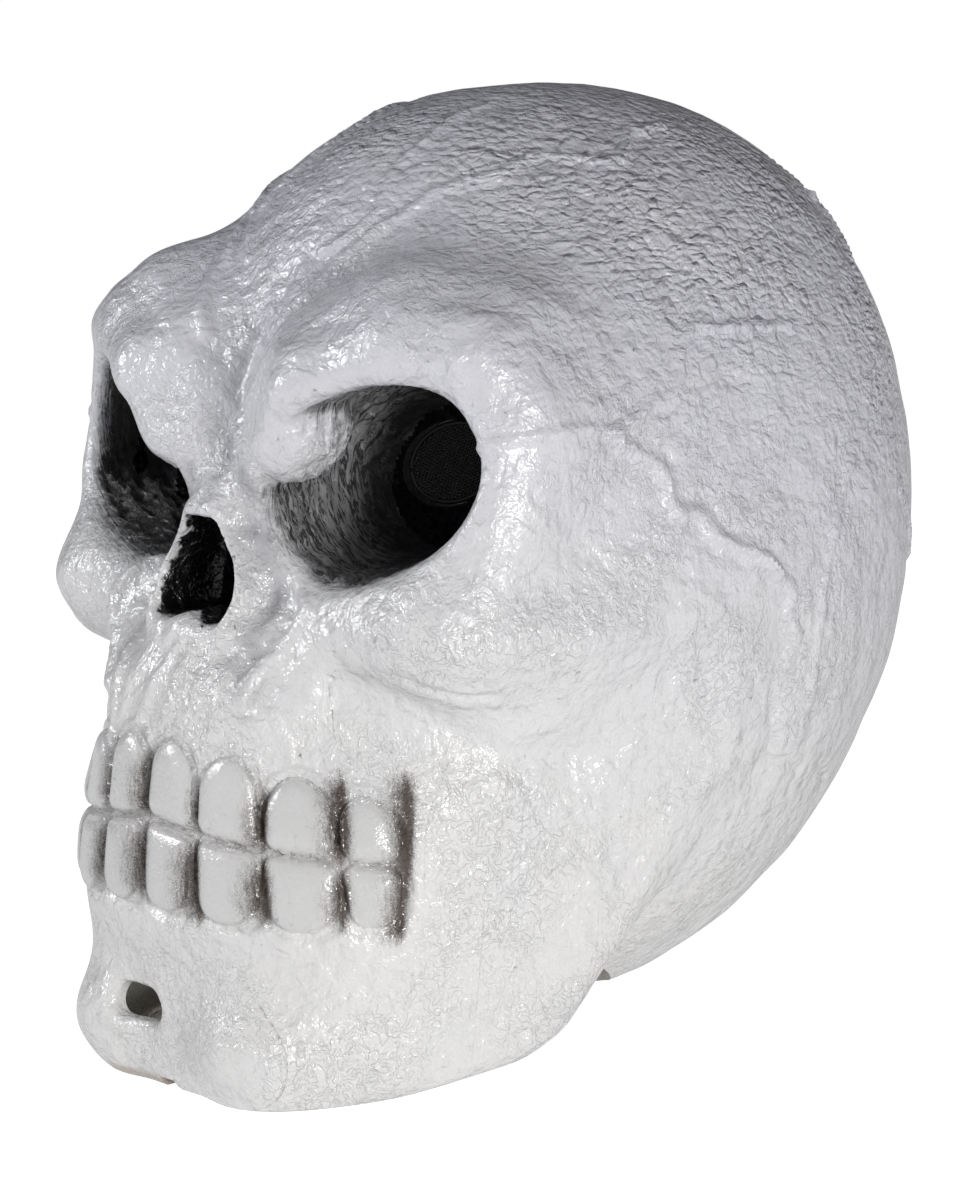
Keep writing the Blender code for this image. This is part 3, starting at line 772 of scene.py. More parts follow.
def tube_points(paths, radius, sides=6, closed=False):
    """Round tubes along paths, all in one mesh."""
    points = []
    faces = []
    angle = round_angles(sides)
    for path in paths:
        path = np.array(path, float)
        n = len(path)
        ahead = np.roll(path, -1, 0) - np.roll(path, 1, 0) if closed else np.gradient(path, axis=0)
        ahead = unit(ahead)
        upright = np.abs(ahead[:, 2]).mean() > 0.8
        reference = np.array([1.0, 0.0, 0.0]) if upright else np.array([0.0, 0.0, 1.0])
        side = unit(np.cross(ahead, reference))
        up = np.cross(side, ahead)
        base = len(points)
        for i in range(n):
            ring = path[i] + radius * (np.cos(angle)[:, None] * side[i] + np.sin(angle)[:, None] * up[i])
            points.extend(ring.tolist())
        for i in range(n if closed else n - 1):
            j = (i + 1) % n
            for k in range(sides):
                m = (k + 1) % sides
                near = base + i * sides
                far = base + j * sides
                faces.append((near + k, near + m, far + m, far + k))
        if not closed:
            faces.append([base + k for k in range(sides)][::-1])
            faces.append([base + (n - 1) * sides + k for k in range(sides)])
    return points, facing_out(points, faces)


def sewn(name, rows, radius, thread):
    """Stitches as one piece."""
    return smooth_shaded(add_object(name, *tube_points(rows, radius, 6), thread), 60.0)


def dashes(path, length, gap):
    """Short stretches of a path, for stitches."""
    path = np.array(path, float)
    run = np.concatenate([[0.0], np.cumsum(np.linalg.norm(np.diff(path, axis=0), axis=1))])
    found = []
    start = gap / 2
    while start + length < run[-1]:
        at = np.linspace(start, start + length, 5)
        found.append(np.stack([np.interp(at, run, path[:, i]) for i in range(3)], 1))
        start += length + gap
    return found


def oval_gauze(name, place, half_long, half_high, mat):
    """Woven gauze in an oval rim; place turns (along, up, out) rows into points."""
    wire = 0.32
    pitch = 0.85
    rim_radius = 0.85
    paths = []
    for length, width, swapped in ((half_long, half_high, False), (half_high, half_long, True)):
        count = int((width - rim_radius) / pitch)
        for k in range(-count, count + 1):
            offset = k * pitch
            reach = length * math.sqrt(1 - (offset / width) ** 2) - 0.5
            run = np.linspace(-reach, reach, 4 * max(int(reach / pitch), 2) + 1)
            wave = 0.26 * np.cos(math.pi * (run / pitch + k)) * (-1 if swapped else 1)
            across = np.full_like(run, offset)
            paths.append(place(across, run, wave) if swapped else place(run, across, wave))
    points, faces = tube_points(paths, wire, 4)
    angle = round_angles(64)
    rim_along = (half_long - rim_radius) * np.cos(angle)
    rim_up = (half_high - rim_radius) * np.sin(angle)
    ring = place(rim_along, rim_up, 0 * angle)
    rim_points, rim_faces = tube_points([ring], rim_radius, 8, True)
    faces = list(faces) + [[i + len(points) for i in face] for face in rim_faces]
    return smooth_shaded(add_object(name, list(points) + list(rim_points), faces, mat), 60.0)


def make_gauzes(mat):
    """The two see-through eye gauzes and the breathing gauze behind the nose opening."""
    middle = -SOCKET_DEPTH - WALL / 2
    fit = 0.4
    pieces = {}
    for name, side in (("left_eye", 1), ("right_eye", -1)):
        def place(along, up, out, side=side):
            return socket_place(side, along, up, middle + out)
        pieces[name + "_screen"] = oval_gauze(name + "_gauze", place, WINDOW_HALF_LENGTH - fit,
                                              WINDOW_HALF_HEIGHT - fit, mat)

    def nose_place(along, up, out):
        return np.stack([along, NOSE_FLOOR_Y + WALL / 2 - out, NOSTRIL_Z + up], 1)
    radius = NOSTRIL_RADIUS - fit
    pieces["nose_screen"] = oval_gauze("nose_gauze", nose_place, radius, radius, mat)
    return pieces


def underside(x, y):
    """Height of the outer face under a point of the neck opening's edge."""
    heights = np.arange(-6.0, 75.0, 0.5)
    inside = np.nonzero(bare_head(np.full_like(heights, x), np.full_like(heights, y), heights) < 0)[0]
    return max(heights[inside[0]] if len(inside) else 0.0, 0.0)


def make_hem(tape, thread):
    """Binding tape round the inside of the neck opening, sewn with two rows of stitches."""
    count = 216
    edge = outline_loop(-1.0, count)
    skin_edge = np.array([underside(x, y) for x, y in edge])
    base = skin_edge
    for smoothing in (50, 8):
        for _ in range(smoothing):
            base = 0.25 * np.roll(base, 1) + 0.5 * base + 0.25 * np.roll(base, -1)
        base = np.maximum(base, skin_edge)
    base = np.maximum(base, 0.3) + 1.6 * ramp(-90.0, -50.0, edge[:, 1])
    section = [(0.4, 0.5), (0.55, 0.1), (1.5, 0.0), (2.4, 0.1), (2.6, 0.6), (2.5, 3.5), (2.3, 6.0),
               (2.5, 8.5), (2.55, 9.4), (2.3, 9.9), (1.5, 10.0), (0.6, 9.9), (0.4, 9.4), (0.4, 5.0)]
    loops = []
    for offset, rise in section:
        edge = outline_loop(offset, count)
        loops.append([(x, y, b + rise) for (x, y), b in zip(edge, base)])
    band = smooth_shaded(add_object("hem_tape", *ring_points(loops), tape), 60.0)
    rows = []
    edge = outline_loop(2.75, count)
    for rise in (2.2, 8.0):
        path = [(x, y, b + rise) for (x, y), b in zip(edge, base)]
        rows += dashes(path + path[:1], 3.2, 1.6)
    return band, sewn("hem_stitches", rows, 0.32, thread)


def make_tab(tape):
    """Folded end of the hem tape in its notch under the chin."""
    back = outline_loop(0.0)[:, 1].min() - 0.4
    thick = 0.75
    bend = [(-9.6 - math.sin(a), 1.75 + math.cos(a)) for a in np.linspace(0, math.pi, 9)]
    fold = [(0.0, 2.75)] + bend + [(-5.0, 0.8), (0.0, 0.85)]
    path = np.array([(0.0, back + y, z) for y, z in fold])
    ahead = unit(np.gradient(path, axis=0))
    away = np.cross(ahead, np.array([1.0, 0.0, 0.0]))
    loops = []
    for across, lift in ((-3.4, -0.5), (-3.6, 0.0), (-3.4, 0.5), (0.0, 0.5),
                         (3.4, 0.5), (3.6, 0.0), (3.4, -0.5), (0.0, -0.5)):
        loops.append(path + away * thick * lift + np.array([across, 0.0, 0.0]))
    rows = len(loops)
    n = len(path)
    points = [tuple(p) for loop in loops for p in loop]
    faces = [(r * n + i, r * n + i + 1, (r + 1) % rows * n + i + 1, (r + 1) % rows * n + i)
             for r in range(rows) for i in range(n - 1)]
    faces.append([r * n for r in range(rows)])
    faces.append([r * n + n - 1 for r in range(rows)][::-1])
    return smooth_shaded(add_object("folded_tab", points, facing_out(points, faces), tape), 60.0)


# pads inside the shell: (node, facing, along, half angles)
PADS = (
    ("crown_pad", (0, 0.05, 1), (1, 0, 0), 20, 22),
    ("forehead_pad", (0, -0.74, 0.67), (1, 0, 0), 22, 9),
    ("left_side_pad", (1, 0.1, 0.12), (0, 1, 0), 16, 14),
    ("right_side_pad", (-1, 0.1, 0.12), (0, -1, 0), 16, 14),
    ("rear_pad", (0, 1, 0.1), (-1, 0, 0), 19, 14),
)
PAD_ORIGIN = np.array([0.0, 8.0, 160.0])
PAD_GAP = 3.6
PAD_THICK = 11.0


def pad_axes(facing, along):
    n = unit(np.array(facing, float))
    e1 = unit(np.array(along, float))
    return n, e1, np.cross(n, e1)


def pad_rays(u, v, facing, along, half_across, half_up):
    n, e1, e2 = pad_axes(facing, along)
    across = math.tan(math.radians(half_across)) * u * np.sqrt(1 - 0.22 * v * v)
    up = math.tan(math.radians(half_up)) * v * np.sqrt(1 - 0.22 * u * u)
    return unit(n + across[:, None] * e1 + up[:, None] * e2)


def inflated(pads):
    """Swell the pads with a short cloth simulation, held to a small travel."""
    limit = 0.0016
    starts = []
    for pad in pads:
        mesh = pad.data
        starts.append(np.array([v.co for v in mesh.vertices]))
        cloth = pad.modifiers.new("cloth", "CLOTH")
        cloth.settings.use_pressure = True
        cloth.settings.uniform_pressure_force = 4.0
        cloth.settings.mass = 0.2
        cloth.settings.quality = 5
        cloth.settings.effector_weights.gravity = 0.0
        cloth.point_cache.frame_start = 1
        cloth.point_cache.frame_end = 20
    for step in range(1, 21):
        bpy.context.scene.frame_set(step)
    graph = bpy.context.evaluated_depsgraph_get()
    ends = [np.array([v.co for v in pad.evaluated_get(graph).data.vertices]) for pad in pads]
    for pad, start, end in zip(pads, starts, ends):
        pad.modifiers.clear()
        move = end - start
        move -= move.mean(0)
        size = np.maximum(np.linalg.norm(move, axis=1), 1e-9)
        move *= np.minimum(1.0, limit / size)[:, None]
        pad.data.vertices.foreach_set("co", (start + move).ravel())
        pad.data.update()
    bpy.context.scene.frame_set(1)


def make_pads(jersey, thread):
    """Foam pads in knitted covers: piped round the edge and stitched into three channels."""
    pads = []
    for node, *_ in PADS:
        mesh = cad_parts[node].data.copy()
        mesh.materials.clear()
        mesh.materials.append(jersey)
        pad = bpy.data.objects.new(node.replace("_pad", "_cushion"), mesh)
        bpy.context.scene.collection.objects.link(pad)
        bm = bmesh.new()
        bm.from_mesh(mesh)
        bmesh.ops.remove_doubles(bm, verts=bm.verts, dist=1e-5)
        bm.normal_update()
        for vert in bm.verts:
            vert.co -= vert.normal * 0.0009
        bm.to_mesh(mesh)
        bm.free()
        remesh = pad.modifiers.new("remesh", "REMESH")
        remesh.mode = "VOXEL"
        remesh.voxel_size = 0.004
        baked(pad)
        pads.append(pad)
    inflated(pads)
    made = {}
    for pad, (node, facing, along, half_across, half_up) in zip(pads, PADS):
        fine = pad.modifiers.new("fine", "SUBSURF")
        fine.levels = fine.render_levels = 1
        baked(pad)
        p = shape_points(pad.data)
        q = p - PAD_ORIGIN
        n, e1, e2 = pad_axes(facing, along)
        u = (q @ e1) / (q @ n) / math.tan(math.radians(half_across))
        v = (q @ e2) / (q @ n) / math.tan(math.radians(half_up))
        inner = ramp(PAD_GAP + 2.0, PAD_GAP + 6.0, -cavity(*p.T))
        groove = bell(u, 0.34, 0.045) + bell(u, -0.34, 0.045)
        deep = 1.9 * groove * inner * ramp(1.0, 0.86, np.abs(v)) + 0.25 * grain(p, 9.0)
        moved = (p + unit(q) * deep[:, None] - np.array([0.0, CENTRE_Y, 0.0])) * MM
        pad.data.vertices.foreach_set("co", moved.ravel())
        pad.data.update()
        smooth_shaded(pad)
        turn = round_angles(96)
        square = np.maximum(np.abs(np.cos(turn)), np.abs(np.sin(turn)))
        round_u = np.cos(turn) / square * 0.99
        round_v = np.sin(turn) / square * 0.99
        rays = pad_rays(round_u, round_v, facing, along, half_across, half_up)
        rim = farthest_inside(lambda x, y, z: cavity(x, y, z) + PAD_GAP + 1.6, PAD_ORIGIN, rays, 200)
        piping = add_object(pad.name + "_piping", *tube_points([rim], 1.3, 8, True), jersey)
        rows = []
        for at in (-0.34, 0.34):
            line_v = np.linspace(-0.84, 0.84, 60)
            rays = pad_rays(np.full(60, at), line_v, facing, along, half_across, half_up)
            thick = 3.0 + (PAD_THICK - 3.0) * (1 - at ** 6) * (1 - line_v ** 6)
            inset = PAD_GAP + thick - 1.5
            face = farthest_inside(lambda x, y, z: cavity(x, y, z) + inset, PAD_ORIGIN, rays, 200)
            rows += dashes(face, 3.0, 1.5)
        made[node] = (pad, smooth_shaded(piping), sewn(pad.name + "_stitches", rows, 0.3, thread))
    return made


def rounded_rectangle(x, centre, half, radius, count=48):
    """Loop round a rectangle with round corners, across the X direction."""
    angle = round_angles(count, 0.5)
    y = centre[0] + np.sign(np.cos(angle)) * (half[0] - radius) + radius * np.cos(angle)
    z = centre[1] + np.sign(np.sin(angle)) * (half[1] - radius) + radius * np.sin(angle)
    return np.stack([np.full(count, x), y, z], 1)


def node_box(node):
    """Middle and half size of a CAD node, in shape millimetres."""
    low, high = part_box(node)
    low = np.array(low) / MM + np.array([0.0, CENTRE_Y, 0.0])
    high = np.array(high) / MM + np.array([0.0, CENTRE_Y, 0.0])
    return 0.5 * (low + high), 0.5 * (high - low)


def moulded_loop(name, node, hole, ribs, mat):
    """Rounded block round the strap, with shallow grip ribs across its faces."""
    centre, half = node_box(node)
    x0 = centre[0] - half[0]
    x1 = centre[0] + half[0]
    edge = 1.2
    corner = 2.2
    loops = []

    def round_end(end, inward, turns):
        for t in turns:
            inset = edge * (1 - math.cos(math.radians(t)))
            x = end + inward * edge * (1 - math.sin(math.radians(t)))
            loops.append(rounded_rectangle(x, centre[1:], (half[1] - inset, half[2] - inset), corner))

    round_end(x0, 1, (90, 60, 30))
    for x in np.arange(x0 + edge, x1 - edge + 0.01, 0.4):
        dip = 0.55 * ribs * (0.5 - 0.5 * math.cos(2 * math.pi * (x - x0 - edge) / 2.6))
        loops.append(rounded_rectangle(x, centre[1:], (half[1] - dip, half[2]), corner))
    round_end(x1, -1, (30, 60, 90))
    for x, more in ((x1, 0.5), (x1 - 0.5, 0.0), (x0 + 0.5, 0.0), (x0, 0.5)):
        loops.append(rounded_rectangle(x, centre[1:], (hole[0] + more, hole[1] + more), 0.5))
    return smooth_shaded(add_object(name, *ring_points(loops), mat), 50.0)


def make_webbing(mat, thread):
    """Woven nape strap with a stitched box at each end."""
    centre, half = node_box("head_strap")
    stations = np.arange(-half[0], half[0] + 0.01, 0.55)
    around = round_angles(72)
    section_z = np.sign(np.sin(around)) * np.abs(np.sin(around)) ** 0.35 * half[2]
    section_y = np.sign(np.cos(around)) * np.abs(np.cos(around)) ** 0.35 * (half[1] - 0.15)
    points = []
    for i, x in enumerate(stations):
        weave = 0.14 * np.cos(2 * math.pi * (section_z / 2.1 + 0.5 * (i % 2))) * np.sign(section_y)
        ridge = 1.0 - 0.006 * (i % 2)
        row = np.stack([np.full(72, x), centre[1] + section_y + weave, centre[2] + section_z * ridge], 1)
        points.extend(row.tolist())
    n = len(stations)
    faces = [(i * 72 + k, i * 72 + (k + 1) % 72, (i + 1) * 72 + (k + 1) % 72, (i + 1) * 72 + k)
             for i in range(n - 1) for k in range(72)]
    faces.append(list(range(72))[::-1])
    faces.append([(n - 1) * 72 + k for k in range(72)])
    strap = smooth_shaded(add_object("nape_webbing", points, facing_out(points, faces), mat), 70.0)
    rows = []
    for side in (-1, 1):
        for front in (-1, 1):
            y = centre[1] + front * (half[1] + 0.12)
            x_out = side * (half[0] - 9.0)
            x_in = side * (half[0] - 24.0)
            low = centre[2] - half[2] + 3.0
            high = centre[2] + half[2] - 3.0
            corners = [(x_out, y, low), (x_in, y, low), (x_in, y, high), (x_out, y, high), (x_out, y, low)]
            lines = list(zip(corners[:-1], corners[1:]))
            lines += [(corners[0], corners[2]), (corners[1], corners[3])]
            for a, b in lines:
                rows += dashes([a, b], 2.0, 1.0)
    return strap, sewn("webbing_stitches", rows, 0.25, thread)


def blacken(mesh, black):
    """Give the deep socket and nose faces, where the paint is solid, their own black material."""
    mesh.materials.append(black)
    last = len(mesh.materials) - 1
    p = shape_points(mesh)
    x, y, z = p.T
    ax = np.sqrt(x * x + 1.0)
    depth = -bare_head(x, y, z)
    in_socket = (depth > 13.0) & (socket(ax, y, z) < 4.0) & (cup_core(x, y, z) < 0.8)
    deep = in_socket | ((depth > 11.0) & (nose_hole(ax, y, z) < 2.5))
    for polygon in mesh.polygons:
        if polygon.material_index == 0 and all(deep[v] for v in polygon.vertices):
            polygon.material_index = last


# airbrushed strokes between the teeth: (edge, shift, half width, top, bottom, slant, strength);
# edge counts from the midline, shift and half width are along the arch, top and bottom are heights
STROKES = [
    (-1, 0.3, 4.6, 112, 86, 0.0, 0.8),
    (0, 0.2, 6.5, 110, 87, 0.1, 0.9),
    (1, 0.6, 3.2, 104, 84, 0.0, 0.8),
    (2, 0.4, 5.4, 102, 81, 0.06, 1.0),
    (3, 1.6, 5.8, 105, 77, 0.1, 1.0),
    (4, 0.8, 5.2, 105, 52, 0.12, 1.0),
    (-1, 0.0, 5.6, 85, 62, 0.0, 0.9),
    (0, 0.6, 7.6, 87, 62, 0.0, 0.95),
    (1, 0.4, 6.8, 85, 58, 0.0, 1.0),
    (2, 0.4, 7.0, 81, 59, 0.0, 1.0),
    (3, 0.4, 5.0, 78, 57, 0.05, 1.0),
]


def stroke_density(p):
    """How much brown paint there is: 0 to 1. Each stroke is crisp outwards and fades inwards."""
    x, y, z = p.T
    s = along_arch(x, y)
    total = np.zeros(len(p))
    for edge, shift, half, top, bottom, slant, strength in STROKES:
        for side in (1, -1):
            if side < 0 and abs(edge) < 2:
                continue
            at = math.copysign(TOOTH_EDGES[abs(edge)], edge) + shift + slant * (z - 0.5 * (top + bottom))
            across = (s * side - at) / half
            core = np.exp(-(across / 0.42) ** 2)
            fade = np.where(across > 0, 0.45, 1.1)
            tail = np.exp(-np.abs(across / fade) ** 1.4)
            span = ramp(bottom - 5, bottom + 7, z) * ramp(top + 5, top - 9, z)
            total = np.maximum(total, strength * span * np.maximum(core, 0.85 * tail))
    return total * ramp(-70, -85, y)


def valley_grey_density(p):
    """Darker grey along the valley beside the nose: 0 to 1."""
    facing, radius = directions(p)
    total = np.zeros(len(p))
    for side in (1, -1):
        line = line_points([(7, 18), (8, 12), (10, 7), (11, 3), (12, -2), (12, -6)], side, 2.0)
        total = np.maximum(total, bell(chords(facing, line) * radius, 0.0, 4.5))
    return total * ramp(5.0, 1.0, -bare_head(*p.T))


def store(mesh, name, kind, values):
    attribute = mesh.attributes.new(name, kind, "POINT")
    field = "value" if kind == "FLOAT" else "vector"
    attribute.data.foreach_set(field, np.asarray(values, np.float32).ravel())


def paint_attributes(mesh):
    """Where the paint and the painted shade go, kept on the mesh for the skin material to read."""
    p = shape_points(mesh)
    x, y, z = p.T
    ax = np.sqrt(x * x + 1.0)
    depth = np.maximum(-bare_head(x, y, z), 0.0)
    in_slot = ramp(4.0, 1.0, chin_slot(x, y, z))
    in_nose = ramp(5.0, 1.0, nose_hole(ax, y, z))
    in_cup = ramp(7.0, 2.0, socket(ax, y, z)) * ramp(-1.0, 4.0, brow_bulb(ax, y, z))
    in_cup = in_cup * ramp(0.0, 5.0, nasion(x, y, z))
    store(mesh, "cup_depth", "FLOAT", depth * in_cup * (1 - in_slot))
    store(mesh, "nose_depth", "FLOAT", depth * in_nose * (1 - in_slot))
    store(mesh, "cup_core", "FLOAT", cup_core(x, y, z))
    store(mesh, "valley_grey", "FLOAT", valley_grey_density(p))
    store(mesh, "cup_place", "FLOAT_VECTOR", cup_coordinates(x, y, z))
    store(mesh, "stroke", "FLOAT", stroke_density(p))
    store(mesh, "enamel", "FLOAT", ramp(0.6, 2.0, tooth_rows(p)) * ramp(-60, -80, y))
    along = np.abs(along_arch(x, y))
    # painted shade along the bite line between the upper and lower teeth
    bite = bell(z - BITE_Z + BITE_FALL * along, -0.1, 1.6) * ramp(-80, -90, y) * ramp(90, 84, along)
    store(mesh, "bite", "FLOAT", bite)
    store(mesh, "hem_line", "FLOAT", ramp(5.0, 2.0, z) * ramp(-128, -134, y) * ramp(2, -4, x))


# ------------------------------------------------------------------ materials
class Nodes:
    """The node tree that the helpers below add to."""
    tree = None


def put(kind, inputs=None, **settings):
    """Add a node; inputs take values or sockets to link from."""
    node = Nodes.tree.nodes.new("ShaderNode" + kind)
    for key, value in settings.items():
        setattr(node, key, value)
    for key, value in (inputs or {}).items():
        if isinstance(value, bpy.types.NodeSocket):
            Nodes.tree.links.new(value, node.inputs[key])
        else:
            node.inputs[key].default_value = value
    return node


def calc(operation, a, b=0.0):
    return put("Math", {0: a, 1: b}, operation=operation).outputs[0]


def times(a, b):
    return calc("MULTIPLY", a, b)


def plus(a, b):
    return calc("ADD", a, b)


def minus(a, b):
    return calc("SUBTRACT", a, b)


def rescale(value, low, high, to_low=0.0, to_high=1.0):
    inputs = {"Value": value, "From Min": low, "From Max": high, "To Min": to_low, "To Max": to_high}
    return put("MapRange", inputs, interpolation_type="SMOOTHSTEP").outputs["Result"]


def mix(factor, a, b):
    return put("Mix", {0: factor, 6: a, 7: b}, data_type="RGBA").outputs[2]


def noise_at(place, scale, detail=2.0, rough=0.5, distortion=0.0):
    inputs = {"Vector": place, "Scale": scale, "Detail": detail, "Roughness": rough,
              "Distortion": distortion}
    return put("TexNoise", inputs).outputs["Fac"]


def cells_at(place, scale, smoothness):
    inputs = {"Vector": place, "Scale": scale, "Smoothness": smoothness}
    return put("TexVoronoi", inputs, feature="SMOOTH_F1").outputs["Distance"]


def stretched(place, x, y, z):
    return put("Mapping", {"Vector": place, "Scale": (x, y, z)}).outputs["Vector"]


def bumped(height, distance, strength=1.0, normal=None):
    inputs = {"Height": height, "Distance": distance, "Strength": strength}
    if normal is not None:
        inputs["Normal"] = normal
    return put("Bump", inputs).outputs["Normal"]


def colour(r, g, b):
    return (r, g, b, 1.0)


def new_material(name, **values):
    """Material with a Principled shader and fixed values on its sockets."""
    mat = bpy.data.materials.new(name)
    mat.use_nodes = True
    Nodes.tree = mat.node_tree
    shader = Nodes.tree.nodes["Principled BSDF"]
    for key, value in values.items():
        shader.inputs[key.replace("_", " ").title().replace("Ior", "IOR")].default_value = value
    return mat, shader, put("TexCoord").outputs["Object"]


def connect(shader, **sockets):
    for key, socket in sockets.items():
        Nodes.tree.links.new(socket, shader.inputs[key.replace("_", " ").title()])


def attribute(name, output="Fac"):
    return put("Attribute", attribute_name=name).outputs[output]


def skin_material():
    """Glossy off-white paint over hammered latex, black cups, brown strokes and painted shade."""
    mat, shader, place = new_material("mask_paint", coat_weight=0.7, coat_roughness=0.10)
    xyz = put("SeparateXYZ", {"Vector": place})
    height = xyz.outputs["Z"]
    ahead = xyz.outputs["Y"]
    up_back = plus(height, times(ahead, 0.35))
    cranium = times(rescale(up_back, 0.15, 0.29), rescale(ahead, -0.10, -0.03))
    # partly a cooler grey tint, partly painted shade: the colour darkens towards the top and back of the
    # head
    cool_and_shaded = rescale(plus(height, times(ahead, 0.5)), 0.02, 0.24)
    cloud = noise_at(place, 34.0, 3.0, 0.6)
    base = mix(cool_and_shaded, colour(0.80, 0.795, 0.785), colour(0.66, 0.665, 0.72))
    base = mix(rescale(cloud, 0.42, 0.72, 0.0, 0.35), base, colour(0.74, 0.74, 0.76))

    wander = put("TexNoise", {"Vector": place, "Scale": 120.0, "Detail": 1.0}).outputs["Color"]
    bent = put("VectorMath", {0: wander, 1: (0.004, 0.004, 0.004)}, operation="MULTIPLY").outputs[0]
    bent = put("VectorMath", {0: place, 1: bent}, operation="ADD").outputs[0]
    scaled = stretched(bent, 0.75, 0.75, 1.4)
    bumps = put("TexVoronoi", {"Vector": scaled, "Scale": 360.0}, feature="F1")
    grains = put("TexVoronoi", {"Vector": scaled, "Scale": 650.0}, feature="F1")
    vary = put("SeparateColor", {"Color": bumps.outputs["Color"]}).outputs[0]
    domes = minus(0.75, calc("POWER", bumps.outputs["Distance"], 1.6))
    domes = times(domes, rescale(vary, 0.0, 1.0, 0.35, 1.2))
    small = times(minus(0.7, grains.outputs["Distance"]), 0.3)
    ripple = noise_at(bent, 210.0, 3.0, 0.5, 0.3)
    lumps = noise_at(place, 95.0, 2.0, 0.45)
    squiggle = noise_at(bent, 260.0, 1.0, 0.4, 1.4)
    ridges = rescale(calc("ABSOLUTE", minus(squiggle, 0.5)), 0.05, 0.0)
    fine = noise_at(place, 1000.0, 2.0, 0.5)
    patches = noise_at(place, 22.0, 2.0, 0.5)
    hammered = plus(plus(domes, small), times(ripple, 0.9))
    worn = times(ridges, rescale(patches, 0.42, 0.6, 0.0, 0.09))
    beads = noise_at(bent, 480.0, 2.0, 0.5, 0.5)
    beads = times(beads, rescale(patches, 0.4, 0.62, 0.08, 0.42))
    peel = plus(plus(worn, beads), times(ripple, 0.7))
    peel = plus(peel, times(lumps, 1.2))
    # painted shade: the crevices between the hammered bumps on the cranium are darkened
    base = mix(times(rescale(domes, 0.25, 0.0, 0.0, 0.35), cranium), base,
               colour(0.42, 0.42, 0.46))

    enamel = attribute("enamel")
    base = mix(times(enamel, 0.8), base, colour(0.66, 0.66, 0.655))
    # darker grey along the valley beside the nose
    valley_grey_amount = times(attribute("valley_grey"), rescale(lumps, 0.3, 0.7, 0.35, 1.0))
    base = mix(times(valley_grey_amount, 0.75), base, colour(0.33, 0.33, 0.36))

    cup = attribute("cup_depth")
    core = attribute("cup_core")
    around = attribute("cup_place", "Vector")
    streak = noise_at(stretched(around, 1.5, 1.5, 0.5), 2.0, 5.0, 0.62, 1.6)
    flecks = noise_at(place, 420.0, 3.0, 0.7)
    patchy = plus(times(streak, 0.9), times(flecks, 0.5))
    patchy = minus(patchy, 0.7)
    edge = plus(cup, times(patchy, 14.0))
    in_cup = rescale(edge, 1.0, 7.0)
    cracks = rescale(plus(streak, times(flecks, 0.2)), 0.59, 0.66)
    pale = mix(rescale(core, 1.2, 0.92), colour(0.40, 0.40, 0.41), colour(0.06, 0.06, 0.062))
    cup_tone = mix(times(cracks, 0.9), pale, colour(0.012, 0.012, 0.013))
    base = mix(in_cup, base, cup_tone)
    cup_black = rescale(minus(core, times(patchy, 0.55)), 1.10, 0.88)
    cup_black = times(cup_black, rescale(edge, 2.0, 9.0))
    base = mix(cup_black, base, colour(0.004, 0.004, 0.0045))

    nostril = attribute("nose_depth")
    ragged = plus(times(flecks, 5.0), times(ripple, 7.0))
    nose_black = rescale(plus(nostril, ragged), 7.6, 9.2)
    base = mix(nose_black, base, colour(0.005, 0.005, 0.005))

    stroke = attribute("stroke")
    speckle = noise_at(place, 2300.0, 2.0, 0.7)
    smear = noise_at(stretched(place, 3.0, 3.0, 0.7), 330.0, 3.0, 0.6)
    dots = plus(times(speckle, 0.75), times(smear, 0.45))
    dots = times(minus(dots, 0.6), rescale(stroke, 0.03, 0.3, 0.0, 1.3))
    brown = rescale(plus(stroke, dots), 0.08, 0.85, 0.0, 0.97)
    base = mix(brown, base, colour(0.065, 0.046, 0.035))
    # painted shade: dark line along the bite between the teeth
    base = mix(times(attribute("bite"), 0.3), base, colour(0.22, 0.19, 0.18))
    base = mix(times(attribute("hem_line"), 0.7), base, colour(0.30, 0.21, 0.13))

    gloss = rescale(noise_at(place, 120.0, 3.0), 0.3, 0.7, 0.20, 0.36)
    dull = rescale(cup, 4.0, 14.0, 0.0, 0.12)
    gloss = plus(gloss, dull)
    smooth_teeth = minus(1.0, times(enamel, 0.85))
    strength = rescale(patches, 0.35, 0.65, 0.45, 1.0)
    hammer_amount = times(cranium, strength)
    peel_amount = times(rescale(cranium, 0.0, 1.0, 1.0, 0.35), smooth_teeth)
    normal = bumped(fine, 0.00025, 0.7)
    normal = bumped(times(hammered, hammer_amount), 0.0021, 0.95, normal)
    normal = bumped(times(peel, peel_amount), 0.0023, 0.9, normal)
    crust = minus(streak, times(cracks, 0.25))
    crust = times(crust, rescale(cup, 1.0, 5.0))
    normal = bumped(crust, 0.0030, 0.9, normal)
    connect(shader, base_color=base, roughness=gloss, normal=normal, coat_normal=normal)
    return mat


def cup_material():
    """Flat black paint over crumpled latex, deep in the sockets."""
    mat, shader, place = new_material("socket_black", roughness=0.38)
    shader.inputs["Specular IOR Level"].default_value = 0.1
    crumple = noise_at(place, 190.0, 4.0, 0.6, 0.8)
    pits = cells_at(place, 420.0, 0.4)
    tone = mix(rescale(crumple, 0.58, 0.72), colour(0.001, 0.001, 0.001), colour(0.006, 0.007, 0.006))
    both = plus(crumple, times(pits, 0.35))
    connect(shader, base_color=tone, normal=bumped(both, 0.0035, 1.0))
    return mat


